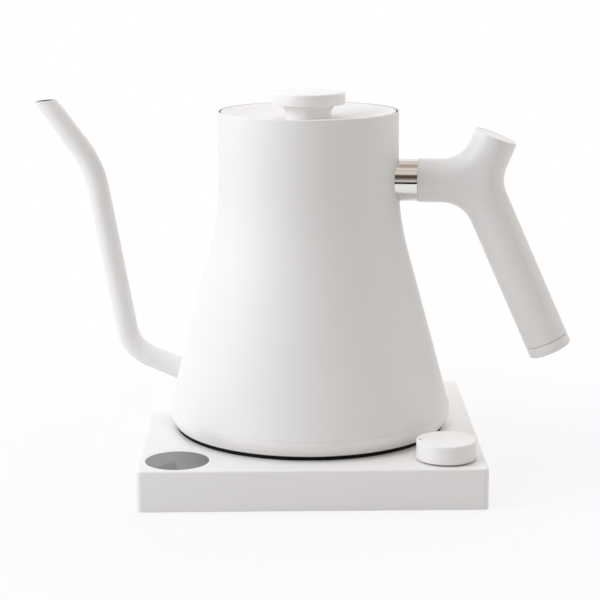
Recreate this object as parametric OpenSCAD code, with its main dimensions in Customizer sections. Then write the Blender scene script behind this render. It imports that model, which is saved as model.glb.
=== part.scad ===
// Gooseneck electric kettle with its square power base.
// Millimetres. The origin is on the table under the kettle's axis: X runs from the
// spout to the handle, Y to the rear of the base, Z up.

/* [Base housing] */
// Side of the square base
base_side = 175; // [165:1:190]
// Height of the base's top face above the table
base_h = 21.3; // [20:0.1:26]
// Wall of the moulded base cover
base_wall = 2.2; // [1.8:0.1:2.6]
// Radius of the base's upright corners
base_corner_r = 3; // [2.5:0.5:8]
// Round along the base's top edge
base_edge_r = 1.2; // [0.6:0.2:1.8]
// Gap between the table and the base cover
base_lift = 0.4; // [0.3:0.1:1.2]
// Thickness of the base floor
floor_t = 2; // [1.6:0.1:2.4]
// Outer diameter of the rubber foot ring
foot_d = 132; // [110:1:140]
// Width of the rubber foot ring
foot_w = 8; // [5:0.5:12]
// Depth of the ring's groove in the base floor
foot_groove = 1.2; // [0.8:0.1:1.4]

/* [Display and control knob] */
// From the base's side to the centres of the display and the knob
control_inset_x = 19.9; // [18.5:0.1:23]
// From the base's front to the centres of the display and the knob
control_inset_y = 18.6; // [18.5:0.1:21]
// Diameter of the display lens
lens_d = 32; // [28:0.5:32]
// Thickness of the display lens
lens_t = 1.4; // [1:0.1:1.5]
// Diameter of the control knob
knob_d = 30.2; // [24:0.2:31]
// Height of the control knob
knob_h = 9.3; // [8.5:0.1:12]
// Gap between the knob and the base's top face
knob_gap = 0.9; // [0.8:0.1:1.4]
// Round along the knob's top edge
knob_edge_r = 0.8; // [0.4:0.1:1.5]
// Diameter of the encoder's shaft
shaft_d = 6; // [5:0.5:6.5]
// Travel of the knob when it is pressed
press_travel = 0.5; // [0.3:0.1:0.6]
// Diameter of the knob's pointer dot
dot_d = 1.3; // [0.8:0.1:2]

/* [Rear of the base] */
// Diameter of the cord's hole in the gland
cord_d = 7; // [6:0.1:7.5]
// From the kettle's axis to the cord gland
gland_x = 38; // [32:1:60]
// From the kettle's axis to the hold switch
hold_x = 34; // [26:1:38]
// Travel of the hold switch
hold_travel = 3; // [2:0.5:4]
// From the kettle's axis to the unit button
unit_x = 54; // [50:1:58]
// Diameter of the unit button
unit_d = 5; // [4:0.2:6]
// Travel of the unit button
unit_travel = 0.6; // [0.4:0.1:0.8]

/* [Round connector] */
// Diameter of the connector's raised boss on the base
socket_d = 40; // [36:1:44]
// Height of the boss above the base's top face
socket_h = 7; // [6:0.5:7.5]
// Diameter of the centre pin
pin_d = 4; // [3:0.5:5]
// Mean diameter of the earth ring
ring_pin_d = 23.4; // [20:0.2:26]

/* [Kettle body] */
// Turn of the kettle on its base, seen from above
kettle_turn = -7.5; // [-20:0.5:20]
// Greatest diameter of the body
belly_d = 150; // [140:1:156]
// Height of the greatest diameter above the base
belly_z = 9.5; // [8.5:0.1:10.4]
// Diameter of the straight neck
neck_d = 94.4; // [86:0.2:100]
// Height of the rim above the base
rim_z = 168.3; // [164:0.1:180]
// Slope of the body's cone from upright
cone_angle = 15.1; // [14:0.1:16.5]
// Radius of the curve between cone and neck
blend_r = 150; // [80:5:200]
// Round at the foot of the body
belly_round = 6; // [4:0.5:7]
// Wall of the steel shell
shell_wall = 0.8; // [0.6:0.1:1]
// Height of the seam between shell and bottom band
seam_z = 10.6; // [10.2:0.1:12]
// Width of that seam
seam_gap = 0.25; // [0.2:0.05:0.4]
// Inward slope of the bottom band
band_angle = 28; // [20:1:32]
// Diameter of the black ring that stands on the base
stand_d = 142.2; // [136:0.2:142.8]
// Height of the black ring
stand_h = 2.2; // [1.8:0.1:2.8]

/* [Heater] */
// Height of the water floor above the base
water_floor_z = 20; // [19.5:0.1:20.8]
// Thickness of the water floor
water_floor_t = 1; // [0.8:0.1:1.2]
// Diameter of the heater plate
heater_d = 96; // [88:1:110]
// Thickness of the heater plate
heater_t = 3; // [2:0.2:3.4]
// Mean diameter of the heating element
element_d = 76; // [72:1:78]
// Diameter of the heating element's tube
element_tube_d = 6.6; // [5.6:0.2:6.8]
// Height of the temperature probe above the water floor
probe_h = 11; // [8:0.5:13]
// Diameter of the temperature probe
probe_d = 4; // [3:0.5:5]

/* [Spout] */
// Outer diameter of the spout at the body
spout_root_d = 11.4; // [10.4:0.1:12]
// Outer diameter of the spout at the mouth
spout_tip_d = 9; // [8.6:0.1:9.8]
// Wall of the spout
spout_wall = 0.8; // [0.6:0.1:0.9]
// Height at which the spout leaves the body
spout_root_z = 28.4; // [28:0.1:34]
// Rise of the spout where it leaves the body
spout_rise = 22; // [15:1:30]
// From the kettle's axis to the spout's lower bend
spout_low_x = 96.9; // [92:0.1:104]
// Lean of the long stretch from upright
spout_lean = 10.3; // [6:0.1:13]
// Height of the spout's upper bend
spout_high_z = 136.9; // [124:0.1:144]
// Lean above the upper bend
spout_tip_lean = 36; // [30:1:42]
// Lean of the mouth's lip
spout_lip_lean = 46; // [43:1:52]
// Length of the lip
spout_lip = 8; // [7:0.5:10]
// Height of the level mouth
spout_mouth_z = 172.2; // [168:0.1:178]
// Centre radius of the lower bend
spout_low_r = 20; // [16:1:24]
// Centre radius of the upper bend
spout_high_r = 56; // [36:1:64]
// Centre radius of the bend behind the lip
spout_lip_r = 24; // [16:1:30]

/* [Handle] */
// Height of the handle's arm above the base
arm_z = 132.4; // [124:0.1:140]
// Diameter of the arm, the grip and the thumb stub
tube_d = 22.7; // [20:0.1:24]
// Diameter of the steel ferrule
ferrule_d = 22.1; // [19.4:0.1:22.5]
// From the kettle's axis to the end of the ferrule
ferrule_x = 57.6; // [55:0.1:62]
// From the kettle's axis to where arm, grip and stub meet
fork_x = 88.2; // [85:0.1:96]
// Lean of the grip from upright
grip_lean = 24; // [20:0.5:30]
// Length of the grip below the fork
grip_l = 97.4; // [90:0.1:110]
// Lean of the thumb stub from upright
stub_lean = 21.6; // [16:0.2:26]
// Length of the thumb stub above the fork
stub_l = 25.4; // [24:0.1:30]
// Centre radius of the three bends at the fork
fork_r = 28; // [24:1:29]
// Length of the cap at the grip's lower end
grip_cap_l = 5.6; // [4:0.1:8]
// Length of the counterweight in the grip
weight_l = 42; // [30:1:48]
// Diameter of the counterweight
weight_d = 14; // [10:0.5:16]
// Diameter of the threaded stud that holds the handle
stud_d = 6; // [5:0.5:8]

/* [Lid] */
// Gap between lid and neck
lid_gap = 0.4; // [0.35:0.05:0.6]
// Depth of the lid's dish
dish_depth = 5.6; // [4:0.2:7]
// Thickness of the lid
lid_t = 1; // [0.8:0.1:1.2]
// Depth of the lid's skirt
skirt_h = 15; // [12:0.5:18]
// Wall of the lid's skirt
skirt_t = 1; // [0.8:0.1:1.4]
// Diameter of the lid knob's head
head_d = 38.6; // [32:0.2:42]
// Height of the lid knob's top above the rim
head_top = 9.7; // [9:0.1:13]
// Thickness of the lid knob's head
head_t = 6.2; // [5:0.1:7]
// Diameter of the lid knob's stem
stem_d = 24; // [20:0.5:26]
// Fillet between the lid knob's head and stem
stem_fillet = 5; // [3:0.1:5.5]
// Diameter of the steam vent in the lid
vent_d = 3; // [2:0.2:4]

/* [Hidden] */
$fn = 96;

white_coat = "#ecebea";
white_plastic = "#f0efee";
black_plastic = "#1c1c1d";
steel = "#c9c7c4";
brass = "#c8a45a";
rubber = "#2a2a2b";
board_green = "#2e5d3a";

// Clearances and small common sizes
fit = 0.1;       // between pieces that are fixed to each other
run = 0.05;      // radial, round a turning shaft
slide_gap = 0.3; // round pieces that slide
eps = 0.01;      // overlap of cuts past a face
screw_r = 1.5;
screw_head_r = 2.8;
screw_head_t = 1.6;

// Base
half = base_side / 2;
cover_under = base_h - base_wall;
floor_z = base_lift + floor_t;
board_z = floor_z + 6.2;
board_t = 1.6;
board_top = board_z + board_t;
display_at = [-half + control_inset_x, -half + control_inset_y];
knob_at = [half - control_inset_x, -half + control_inset_y];
rear_in = half - base_wall;
boss_r = 4;
boss_gap = 5;
boss_x = rear_in - boss_r - boss_gap;
boss_front_y = -25;
boss_rear_y = half - 25.5;
boss_places = [for (x = [-1, 1], y = [boss_front_y, boss_rear_y]) [x * boss_x, y]];
base_screw_l = 8;
board_screw_l = 6;
post_r = 2.6;
post_in = 5; // from a board's edge to its posts
control_board_size = [2 * (rear_in - 5), 30];
control_board_y = -rear_in + 4 + control_board_size[1] / 2;
control_post_x = 36;
control_post_y = control_board_size[1] / 2 - post_in;
control_posts = [for (x = [-control_post_x, control_post_x], y = [-control_post_y, control_post_y])
    [x, control_board_y + y]];
power_board_size = [86, 50];
power_board_x = -22;
power_corner = [power_board_x - power_board_size[0] / 2, rear_in - 1 - power_board_size[1]];
power_board_at = power_corner + power_board_size / 2;
power_post_rear = 17; // from the rear edge, clear of the switches
power_posts = [for (x = [post_in, power_board_size[0] - post_in],
                    y = [post_in, power_board_size[1] - power_post_rear]) power_corner + [x, y]];

// Parts on the boards, placed from the board's front left corner
relay_size = [22, 16];
relay_in = [9, 9];
core_size = [16, 18, 7];
core_in = [50, 21];
winding_size = [22, 8, 6];
terminal_size = [16, 9, 6];
terminal_in = [62, 10];
capacitor_r = 3.6;
capacitor_h = 7;
capacitor_in = [[38, 11], [48, 11]];
chip_size = [8, 8, 1.4];
chip_step = 18;
panel_t = 2.4;
carrier_side = 16;

// Encoder
bushing_r = shaft_d / 2 + 0.8;
encoder_side = 12.4;
cavity_r = shaft_d / 2 + 1.6;
cavity_z = [board_top + 1, board_top + 5];
plunger_z = cavity_z[0] + press_travel + 0.4;
plunger_t = 1.2;
shaft_foot_z = plunger_z + plunger_t;
knob_z = base_h + knob_gap;
knob_top = knob_z + knob_h;
knob_roof = 1.6;
bushing_top = knob_z + 0.7;
knob_boss_z = bushing_top + press_travel + slide_gap;

// Rear switches
rear_z = board_top + 3.4;
switch_h = 6.8;
slider_t = 1.2;
slider_thumb = [3.2, 3];
slider_plate = [9, 5];
switch_face = rear_in - 2 * slide_gap - slider_t;
button_flange_t = 1;
button_back = rear_in - slide_gap - button_flange_t;

// Cord gland
gland_z = 10.5;
gland_wall = 2;
gland_r = cord_d / 2 + gland_wall;
gland_flange_r = gland_r + 1.5;
gland_flange_t = 1.5;
gland_in = 6;

// Connector
socket_flange_r = socket_d / 2 + 4;
socket_flange_t = 2.5;
socket_hole_r = pin_d / 2 + 2.4;
ring_slot = 3.4;
ring_wall = 1.1;
contact_wall = 0.6;
contact_z = cover_under - 1;
contact_h = 5;
plug_gap = 0.6;

// Kettle body, with heights above the base's top face
belly_c = belly_d / 2 - belly_round;
cone_foot = [belly_c + belly_round * cos(cone_angle), belly_z + belly_round * sin(cone_angle)];
knee_z = cone_foot[1] + (cone_foot[0] - neck_d / 2) / tan(cone_angle);
blend_t = blend_r * tan(cone_angle / 2);
blend_steps = 12;
neck_in = neck_d / 2 - shell_wall;
band_skin = 1.6;
band_overhang = 0.8; // of the band's foot over the black ring
band_lip = 4;
cover_t = 1.5;
cover_flange = 9;
band_flange_t = 2;
plug_hole_r = socket_d / 2 + 1.5;
collar_t = 2;
collar_top = socket_h + plug_gap + 1.2;
cover_screw_r = stand_d / 2 - 6.5;
cover_screw_angles = [30, 150, 270];

// Heater
heater_z = water_floor_z - heater_t;
cutout_r = 5.5;
cutout_h = 4;
cutout_at = 28.5;
element_tail = 5;
probe_at = 26;
seal_r = probe_d / 2 + 2;

// Spout, as points [distance from the axis, height] in the kettle's plane
spout_fn = 24;
spout_root = [-cone_r(spout_root_z) + shell_wall + 0.5,
              spout_root_z - (shell_wall + 0.5) * tan(spout_rise)];
spout_low = [-spout_low_x, spout_root[1] + (spout_low_x + spout_root[0]) * tan(spout_rise)];
spout_high = [-spout_low_x - (spout_high_z - spout_low[1]) * tan(spout_lean), spout_high_z];
spout_lip_z = spout_mouth_z - spout_lip * cos(spout_lip_lean);
spout_lip_at = [spout_high[0] - (spout_lip_z - spout_high_z) * tan(spout_tip_lean), spout_lip_z];
spout_end = spout_lip_at + (spout_lip + spout_tip_d) * [-sin(spout_lip_lean), cos(spout_lip_lean)];
spout_path = concat(
    [spout_root],
    bend(spout_root, spout_low, spout_high, spout_low_r, 10),
    bend(spout_low, spout_high, spout_lip_at, spout_high_r, 8),
    bend(spout_high, spout_lip_at, spout_end, spout_lip_r, 4),
    [spout_end]);
spout_taper_from = 0.8; // share of the length over which the diameter stays the same

// Handle
tube_r = tube_d / 2;
fork = [fork_x, arm_z];
grip_dir = [sin(grip_lean), -cos(grip_lean)];
stub_dir = [sin(stub_lean), cos(stub_lean)];
arm_start = [ferrule_x, arm_z];
grip_end = fork + (grip_l - grip_cap_l) * grip_dir;
stub_end = fork + stub_l * stub_dir;
fork_fn = 40;
fork_steps = 12;
cap_gap = 0.2;
stub_cap_t = 1.4;
stub_rim = 1;
ferrule_wall = 1.2;
saddle_x = sqrt(pow(neck_d / 2, 2) - pow(ferrule_d / 2, 2)) - 1;
stud_flange_r = ferrule_d / 2 - ferrule_wall - 1;
stud_end_x = ferrule_x + 14;
nut_r = stud_d / 2 + 2;
nut_x = [ferrule_x + 5, ferrule_x + 13];
weight_from = grip_l - grip_cap_l - weight_l;

// Lid, with heights above the base's top face
lid_r = neck_in - lid_gap;
lid_edge = 0.4;
dish_r = lid_r - 0.9;
dish_sphere = (dish_r * dish_r + dish_depth * dish_depth) / (2 * dish_depth);
land_r = stem_d / 2 + 0.6;
land_z = rim_z - dish_fall(land_r);
skirt_r = lid_r - 0.7;
seal_h = 4;
seal_drop = 9;
lid_screw_r = 2;
lid_screw_l = 10;
lid_washer_t = 0.8;
lid_washer_r = 5;

// Points of an arc round c, from angle a0 to a1 in n steps
function arc(c, r, a0, a1, n) =
    [for (i = [0:n]) let (a = a0 + (a1 - a0) * i / n) c + r * [cos(a), sin(a)]];

function unit(v) = v / norm(v);

// Points of the arc of radius r that rounds the corner b of the line a-b-c
function bend(a, b, c, r, n) =
    let (u = unit(a - b), v = unit(c - b), h = acos(u * v) / 2,
         m = b + unit(u + v) * r / sin(h), p = b + u * r / tan(h) - m, q = b + v * r / tan(h) - m,
         w = 180 - 2 * h)
    [for (i = [0:n]) m + (sin(w * (1 - i / n)) * p + sin(w * i / n) * q) / sin(w)];

// Radius of the body's cone at height z
function cone_r(z) = cone_foot[0] - (z - cone_foot[1]) * tan(cone_angle);

// How far the lid's dish lies below the rim at radius r
function dish_fall(r) =
    dish_depth - dish_sphere + sqrt(dish_sphere * dish_sphere - r * r);

// Length along a path up to its point i
function run_length(p, i) = i == 0 ? 0 : run_length(p, i - 1) + norm(p[i] - p[i - 1]);

// Direction of a path at its point i
function heading(p, i) =
    unit((i < len(p) - 1 ? unit(p[i + 1] - p[i]) : [0, 0]) + (i > 0 ? unit(p[i] - p[i - 1]) : [0, 0]));

// Puts pieces of the kettle on the base
module on_base() {
    translate([0, 0, base_h]) rotate([0, 0, kettle_turn]) children();
}

// Lays a solid that is drawn along Z in the kettle's plane, from point p in direction d
module along(p, d) {
    translate([p[0], 0, p[1]]) rotate([0, atan2(d[0], d[1]), 0]) children();
}

// A screw with a pan head below z = 0 and its thread upwards
module screw(l) {
    translate([0, 0, -screw_head_t]) cylinder(r = screw_head_r, h = screw_head_t, $fn = 24);
    cylinder(r = screw_r, h = l, $fn = 24);
}

// A square block with round upright corners and a round top edge
module soft_block(side, h, corner_r, edge_r) {
    at = side / 2 - corner_r;
    hull()
        for (x = [-at, at], y = [-at, at]) translate([x, y, 0]) {
            for (a = [0:18:90])
                cylinder(r = corner_r - edge_r * (1 - cos(a)), h = h - edge_r * (1 - sin(a)), $fn = 32);
        }
}

// ---- Base ----

module base_cover() {
    color(white_plastic) {
        difference() {
            translate([0, 0, base_lift])
                soft_block(base_side, base_h - base_lift, base_corner_r, base_edge_r);
            translate([0, 0, base_lift - 1])
                soft_block(base_side - 2 * base_wall, cover_under - base_lift + 1,
                           base_corner_r - base_wall + 0.8, 0.4);
            cylinder(r = socket_d / 2 + fit, h = base_h + 1);
            translate([display_at[0], display_at[1], base_h - lens_t])
                cylinder(r = lens_d / 2 + fit, h = lens_t + 1);
            translate([display_at[0], display_at[1], 0]) cylinder(r = lens_d / 2 - 2.4, h = base_h + 1);
            translate([knob_at[0], knob_at[1], 0]) cylinder(r = bushing_r + fit, h = base_h + 1);
            translate([gland_x, rear_in - 1, gland_z])
                rotate([-90, 0, 0]) cylinder(r = gland_r + fit, h = base_wall + 2);
            translate([-unit_x, rear_in - 1, rear_z])
                rotate([-90, 0, 0]) cylinder(r = unit_d / 2 + slide_gap, h = base_wall + 2, $fn = 48);
            translate([-hold_x - slider_thumb[0] / 2 - slide_gap, rear_in - 1,
                       rear_z - slider_thumb[1] / 2 - slide_gap])
                cube([slider_thumb[0] + hold_travel + 2 * slide_gap, base_wall + 2,
                      slider_thumb[1] + 2 * slide_gap]);
        }
        for (p = boss_places) translate([p[0], p[1], floor_z])
            difference() {
                cylinder(r = boss_r, h = cover_under - floor_z + eps, $fn = 32);
                translate([0, 0, -eps]) cylinder(r = screw_r, h = base_screw_l + 2, $fn = 24);
            }
    }
}

module base_floor() {
    side = base_side - 2 * base_wall - 2 * fit;
    color(black_plastic) {
        difference() {
            translate([0, 0, base_lift]) soft_block(side, floor_t, base_corner_r - base_wall + 0.8, 0.2);
            translate([0, 0, base_lift - 1]) difference() {
                cylinder(d = foot_d + fit, h = foot_groove + 1);
                translate([0, 0, -1]) cylinder(d = foot_d - 2 * foot_w - fit, h = foot_groove + 3);
            }
            for (p = boss_places) translate([p[0], p[1], 0]) {
                cylinder(r = screw_r + fit, h = floor_z + 1, $fn = 24);
                translate([0, 0, base_lift - 1])
                    cylinder(r = screw_head_r + 2 * fit, h = screw_head_t - 0.4 + 1, $fn = 32);
            }
        }
        for (p = concat(control_posts, power_posts)) translate([p[0], p[1], floor_z - eps])
            difference() {
                cylinder(r = post_r, h = board_z - floor_z + eps, $fn = 32);
                translate([0, 0, 1]) cylinder(r = screw_r, h = board_z, $fn = 24);
            }
    }
}

module foot_ring() {
    top = base_lift + foot_groove;
    color(rubber) rotate_extrude()
        polygon([[foot_d / 2 - foot_w + 0.4, 0], [foot_d / 2 - 0.4, 0], [foot_d / 2, 0.4],
                 [foot_d / 2, top], [foot_d / 2 - foot_w, top], [foot_d / 2 - foot_w, 0.4]]);
}

module base_screws() {
    color(steel) for (p = boss_places)
        translate([p[0], p[1], base_lift + screw_head_t - 0.4]) screw(base_screw_l);
}

// The boss over which the kettle drops: a centre hole and a ring slot for the plug
module connector_socket() {
    r = socket_d / 2;
    top = base_h + socket_h;
    foot = cover_under - socket_flange_t;
    slot = [ring_pin_d / 2 - ring_slot / 2, ring_pin_d / 2 + ring_slot / 2];
    slot_z = cover_under;
    color(black_plastic) difference() {
        rotate_extrude()
            polygon(concat([[socket_hole_r, foot], [socket_flange_r, foot], [socket_flange_r, cover_under],
                            [r, cover_under]],
                           arc([r - 2, top - 2], 2, 0, 90, 6),
                           [[slot[1], top], [slot[1], slot_z], [slot[0], slot_z], [slot[0], top],
                            [socket_hole_r, top]]));
        for (a = [90, 210, 330]) rotate([0, 0, a]) translate([r + 2.2, 0, foot - 1])
            cylinder(r = screw_r + fit, h = socket_flange_t + 2, $fn = 24);
    }
}

module socket_screws() {
    color(steel) for (a = [90, 210, 330]) rotate([0, 0, a])
        translate([socket_d / 2 + 2.2, 0, cover_under - socket_flange_t])
            screw(socket_flange_t - eps);
}

// Brass sleeve for the centre pin and brass spring ring in the slot
module socket_contacts() {
    sleeve = pin_d / 2 + slide_gap;
    ring = ring_pin_d / 2 + ring_slot / 2;
    color(brass) {
        translate([0, 0, contact_z]) difference() {
            cylinder(r = socket_hole_r - eps, h = contact_h, $fn = 48);
            translate([0, 0, 1]) cylinder(r = sleeve, h = contact_h, $fn = 48);
        }
        translate([0, 0, cover_under]) difference() {
            cylinder(r = ring, h = contact_h - 1);
            translate([0, 0, contact_wall]) cylinder(r = ring - contact_wall, h = contact_h);
            translate([0, 0, -1]) cylinder(r = ring - ring_slot + contact_wall, h = contact_h + 1);
        }
    }
}

module display_lens() {
    color("#6e6f70") translate([display_at[0], display_at[1], base_h - lens_t])
        cylinder(d = lens_d, h = lens_t);
}

// Display module: a round panel under the lens on a carrier that stands on the board
module display_panel() {
    color("#2b2d2f") translate([display_at[0], display_at[1], 0]) {
        translate([0, 0, cover_under - panel_t]) cylinder(r = lens_d / 2 - 1.2, h = panel_t, $fn = 64);
        translate([-carrier_side / 2, -carrier_side / 2, board_top])
            cube([carrier_side, carrier_side, cover_under - panel_t - board_top]);
    }
}

module board(size, at, posts) {
    difference() {
        translate([at[0] - size[0] / 2, at[1] - size[1] / 2, board_z]) cube([size[0], size[1], board_t]);
        for (p = posts) translate([p[0], p[1], board_z - 1])
            cylinder(r = screw_r + fit, h = board_t + 2, $fn = 24);
    }
}

module control_board() {
    color(board_green) {
        board(control_board_size, [0, control_board_y], control_posts);
        for (i = [-1:1])
            translate([i * chip_step - chip_size[0] / 2, control_board_y - chip_size[1] / 2, board_top - eps])
                cube(chip_size);
    }
}

module power_board() {
    color(board_green) {
        board(power_board_size, power_board_at, power_posts);
        translate([power_corner[0] + terminal_in[0], power_corner[1] + terminal_in[1], board_top - eps])
            cube(terminal_size);
        for (c = capacitor_in) translate([power_corner[0] + c[0], power_corner[1] + c[1], board_top - eps])
            cylinder(r = capacitor_r, h = capacitor_h, $fn = 24);
    }
}

module board_screws() {
    color(steel) for (p = concat(control_posts, power_posts))
        translate([p[0], p[1], board_top]) mirror([0, 0, 1]) screw(board_screw_l);
}

module relay() {
    color("#20508c") translate([power_corner[0] + relay_in[0], power_corner[1] + relay_in[1], board_top])
        cube([relay_size[0], relay_size[1], cover_under - board_top - 0.6]);
}

module transformer() {
    inset = (core_size - winding_size) / 2;
    color("#c9a227")
        translate([power_corner[0] + core_in[0], power_corner[1] + core_in[1], board_top]) {
            cube(core_size);
            translate([inset[0], inset[1], 0]) cube(winding_size);
        }
}

// Push encoder under the knob: case with cavity, and the bushing through the cover
module encoder_body() {
    case_top = cavity_z[1] + 1;
    color("#8f9296") translate([knob_at[0], knob_at[1], 0]) difference() {
        union() {
            translate([-encoder_side / 2, -encoder_side / 2, board_top])
                cube([encoder_side, encoder_side, case_top - board_top]);
            cylinder(r = bushing_r, h = bushing_top, $fn = 64);
            translate([0, 0, board_top]) cylinder(r = bushing_r, h = 1, $fn = 64);
        }
        translate([0, 0, -1]) cylinder(r = bushing_r + 1, h = board_top + 1, $fn = 64);
        translate([0, 0, cavity_z[0]]) cylinder(r = cavity_r, h = cavity_z[1] - cavity_z[0], $fn = 64);
        translate([0, 0, cavity_z[0]]) cylinder(r = shaft_d / 2 + run, h = bushing_top, $fn = 64);
    }
}

module hold_switch_body() {
    size = [14, 7, switch_h];
    color(black_plastic) translate([-hold_x + hold_travel / 2 - size[0] / 2, switch_face - size[1], board_top])
        cube(size);
}

module unit_switch_body() {
    size = [6.4, 5, switch_h - 0.6];
    face = button_back - unit_travel - 0.1;
    color(black_plastic) translate([-unit_x - size[0] / 2, face - size[1], board_top]) cube(size);
}

// Bush that clips in the rear wall and guards the mains cord
module cord_gland() {
    in_y = rear_in - gland_in;
    color(black_plastic) translate([gland_x, 0, gland_z]) rotate([-90, 0, 0])
        rotate_extrude()
            polygon([[cord_d / 2, in_y], [gland_r, in_y], [gland_r, rear_in - gland_flange_t],
                     [gland_flange_r, rear_in - gland_flange_t], [gland_flange_r, rear_in],
                     [gland_r, rear_in], [gland_r, half], [gland_flange_r, half],
                     [gland_flange_r, half + gland_flange_t - 0.4],
                     [gland_flange_r - 0.4, half + gland_flange_t],
                     [cord_d / 2, half + gland_flange_t]]);
}

// ---- Control knob, hold slider and unit button ----

module encoder_plunger() {
    color("#d8d8d8") translate([knob_at[0], knob_at[1], plunger_z])
        cylinder(r = cavity_r - slide_gap, h = plunger_t, $fn = 48);
}

module encoder_shaft() {
    collar_t = cavity_z[1] - shaft_foot_z - slide_gap;
    top = knob_top - knob_roof;
    flat = shaft_d / 2 - 1.2;
    color("#8f9296") translate([knob_at[0], knob_at[1], 0]) {
        translate([0, 0, shaft_foot_z]) cylinder(r = cavity_r - slide_gap, h = collar_t, $fn = 48);
        difference() {
            translate([0, 0, shaft_foot_z]) cylinder(r = shaft_d / 2, h = top - shaft_foot_z, $fn = 64);
            translate([-shaft_d, flat, knob_boss_z]) cube([2 * shaft_d, shaft_d, knob_h]);
        }
    }
}

module control_knob() {
    r = knob_d / 2;
    wall = 2;
    boss = shaft_d / 2 + 2.5;
    flat = shaft_d / 2 - 1.2 + 0.02;
    color(white_coat) translate([knob_at[0], knob_at[1], 0]) difference() {
        union() {
            rotate_extrude()
                polygon(concat([[0, knob_top - knob_roof], [r - wall, knob_top - knob_roof],
                                [r - wall, knob_z], [r, knob_z]],
                               arc([r - knob_edge_r, knob_top - knob_edge_r], knob_edge_r, 0, 90, 6),
                               [[0, knob_top]]));
            translate([0, 0, knob_boss_z])
                cylinder(r = boss, h = knob_top - knob_boss_z - knob_roof / 2, $fn = 64);
        }
        difference() {
            translate([0, 0, knob_boss_z - 1])
                cylinder(r = shaft_d / 2 + 0.02, h = knob_top - knob_roof - knob_boss_z + 1, $fn = 64);
            translate([-shaft_d, flat, knob_boss_z - 2]) cube([2 * shaft_d, shaft_d, knob_h + 2]);
        }
        translate([-r + knob_edge_r + dot_d / 2 + 0.4, 0, knob_top - 0.3])
            cylinder(d = dot_d, h = 1, $fn = 24);
    }
}

module knob_dot() {
    color(black_plastic)
        translate([knob_at[0] - knob_d / 2 + knob_edge_r + dot_d / 2 + 0.4, knob_at[1], knob_top - 0.3])
            cylinder(d = dot_d, h = 0.3, $fn = 24);
}

module hold_slider() {
    color(black_plastic) {
        translate([-hold_x - slider_thumb[0] / 2, rear_in - slide_gap - eps, rear_z - slider_thumb[1] / 2])
            cube([slider_thumb[0], base_wall + slide_gap + 1, slider_thumb[1]]);
        translate([-hold_x - slider_plate[0] / 2, rear_in - slide_gap - slider_t, rear_z - slider_plate[1] / 2])
            cube([slider_plate[0], slider_t, slider_plate[1]]);
    }
}

module unit_button() {
    color(black_plastic) translate([-unit_x, button_back, rear_z]) rotate([-90, 0, 0]) {
        cylinder(d = unit_d, h = half - button_back + 0.8, $fn = 48);
        cylinder(r = unit_d / 2 + 0.9, h = button_flange_t, $fn = 48);
    }
}

// ---- Kettle ----

// Outline of the shell from its seam up to the rim, moved in by t
function shell_line(t) =
    let (f = [belly_c, belly_z], n = [cos(cone_angle), sin(cone_angle)],
         low = asin((seam_z + seam_gap / 2 - belly_z) / belly_round))
    concat(arc(f, belly_round - t, max(low, 0), cone_angle, 4),
           arc([neck_d / 2 + blend_r, knee_z + blend_t], blend_r + t, 180 + cone_angle, 180, blend_steps));

module body_shell() {
    outer = shell_line(0);
    inner = shell_line(shell_wall);
    z0 = outer[0][1];
    lip = shell_wall / 2;
    color(white_coat) on_base() difference() {
        rotate_extrude($fn = 180)
            polygon(concat(outer,
                           arc([neck_d / 2 - lip, rim_z - lip], lip, 0, 180, 6),
                           [for (i = [len(inner) - 1:-1:0]) [inner[i][0], max(inner[i][1], z0)]]));
        along(spout_root, [-cos(spout_rise), sin(spout_rise)])
            translate([0, 0, -5]) cylinder(d = spout_root_d + 2 * eps, h = 15);
    }
}

// Rings of a tube along a path in the kettle's plane; radii gives a radius for each point
function tube_rings(p, radii, n) =
    [for (i = [0:len(p) - 1]) let (t = heading(p, i))
        for (k = [0:n - 1]) let (a = 360 * k / n)
            [p[i][0] - radii[i] * cos(a) * t[1], -radii[i] * sin(a), p[i][1] + radii[i] * cos(a) * t[0]]];

module tapered_tube(p, radii, n) {
    m = len(p);
    polyhedron(
        tube_rings(p, radii, n),
        concat([[for (k = [0:n - 1]) k]],
               [[for (k = [n - 1:-1:0]) (m - 1) * n + k]],
               [for (i = [0:m - 2]) for (k = [0:n - 1])
                   [i * n + k, (i + 1) * n + k, (i + 1) * n + (k + 1) % n, i * n + (k + 1) % n]]));
}

function spout_radii(p, wall) =
    let (all = run_length(p, len(p) - 1))
    [for (i = [0:len(p) - 1]) let (s = run_length(p, i) / all)
        (s < spout_taper_from ? spout_root_d
            : spout_root_d + (spout_tip_d - spout_root_d) * (s - spout_taper_from) / (1 - spout_taper_from))
        / 2 - wall];

module spout() {
    bore = concat([spout_root + 2 * [cos(spout_rise), -sin(spout_rise)]], spout_path,
                  [spout_end + 2 * unit(spout_end - spout_lip_at)]);
    color(white_coat) on_base() difference() {
        tapered_tube(spout_path, spout_radii(spout_path, 0), spout_fn);
        tapered_tube(bore, spout_radii(bore, spout_wall), spout_fn);
        translate([spout_end[0] - 20, -20, spout_mouth_z]) cube([60, 40, 30]);
    }
}

// The shell's outer form as a solid, for the saddles of what sits on it
module shell_form() {
    line = shell_line(-eps);
    rotate_extrude($fn = 180)
        polygon(concat([[0, line[0][1]]], line, [[neck_d / 2 + eps, rim_z], [0, rim_z]]));
}

// Polished steel sleeve between body and handle, saddled on the neck
module ferrule() {
    color(steel) on_base() difference() {
        along([saddle_x, arm_z], [1, 0]) difference() {
            cylinder(d = ferrule_d, h = ferrule_x - saddle_x);
            translate([0, 0, -1]) cylinder(r = ferrule_d / 2 - ferrule_wall, h = ferrule_x);
        }
        shell_form();
    }
}

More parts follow.
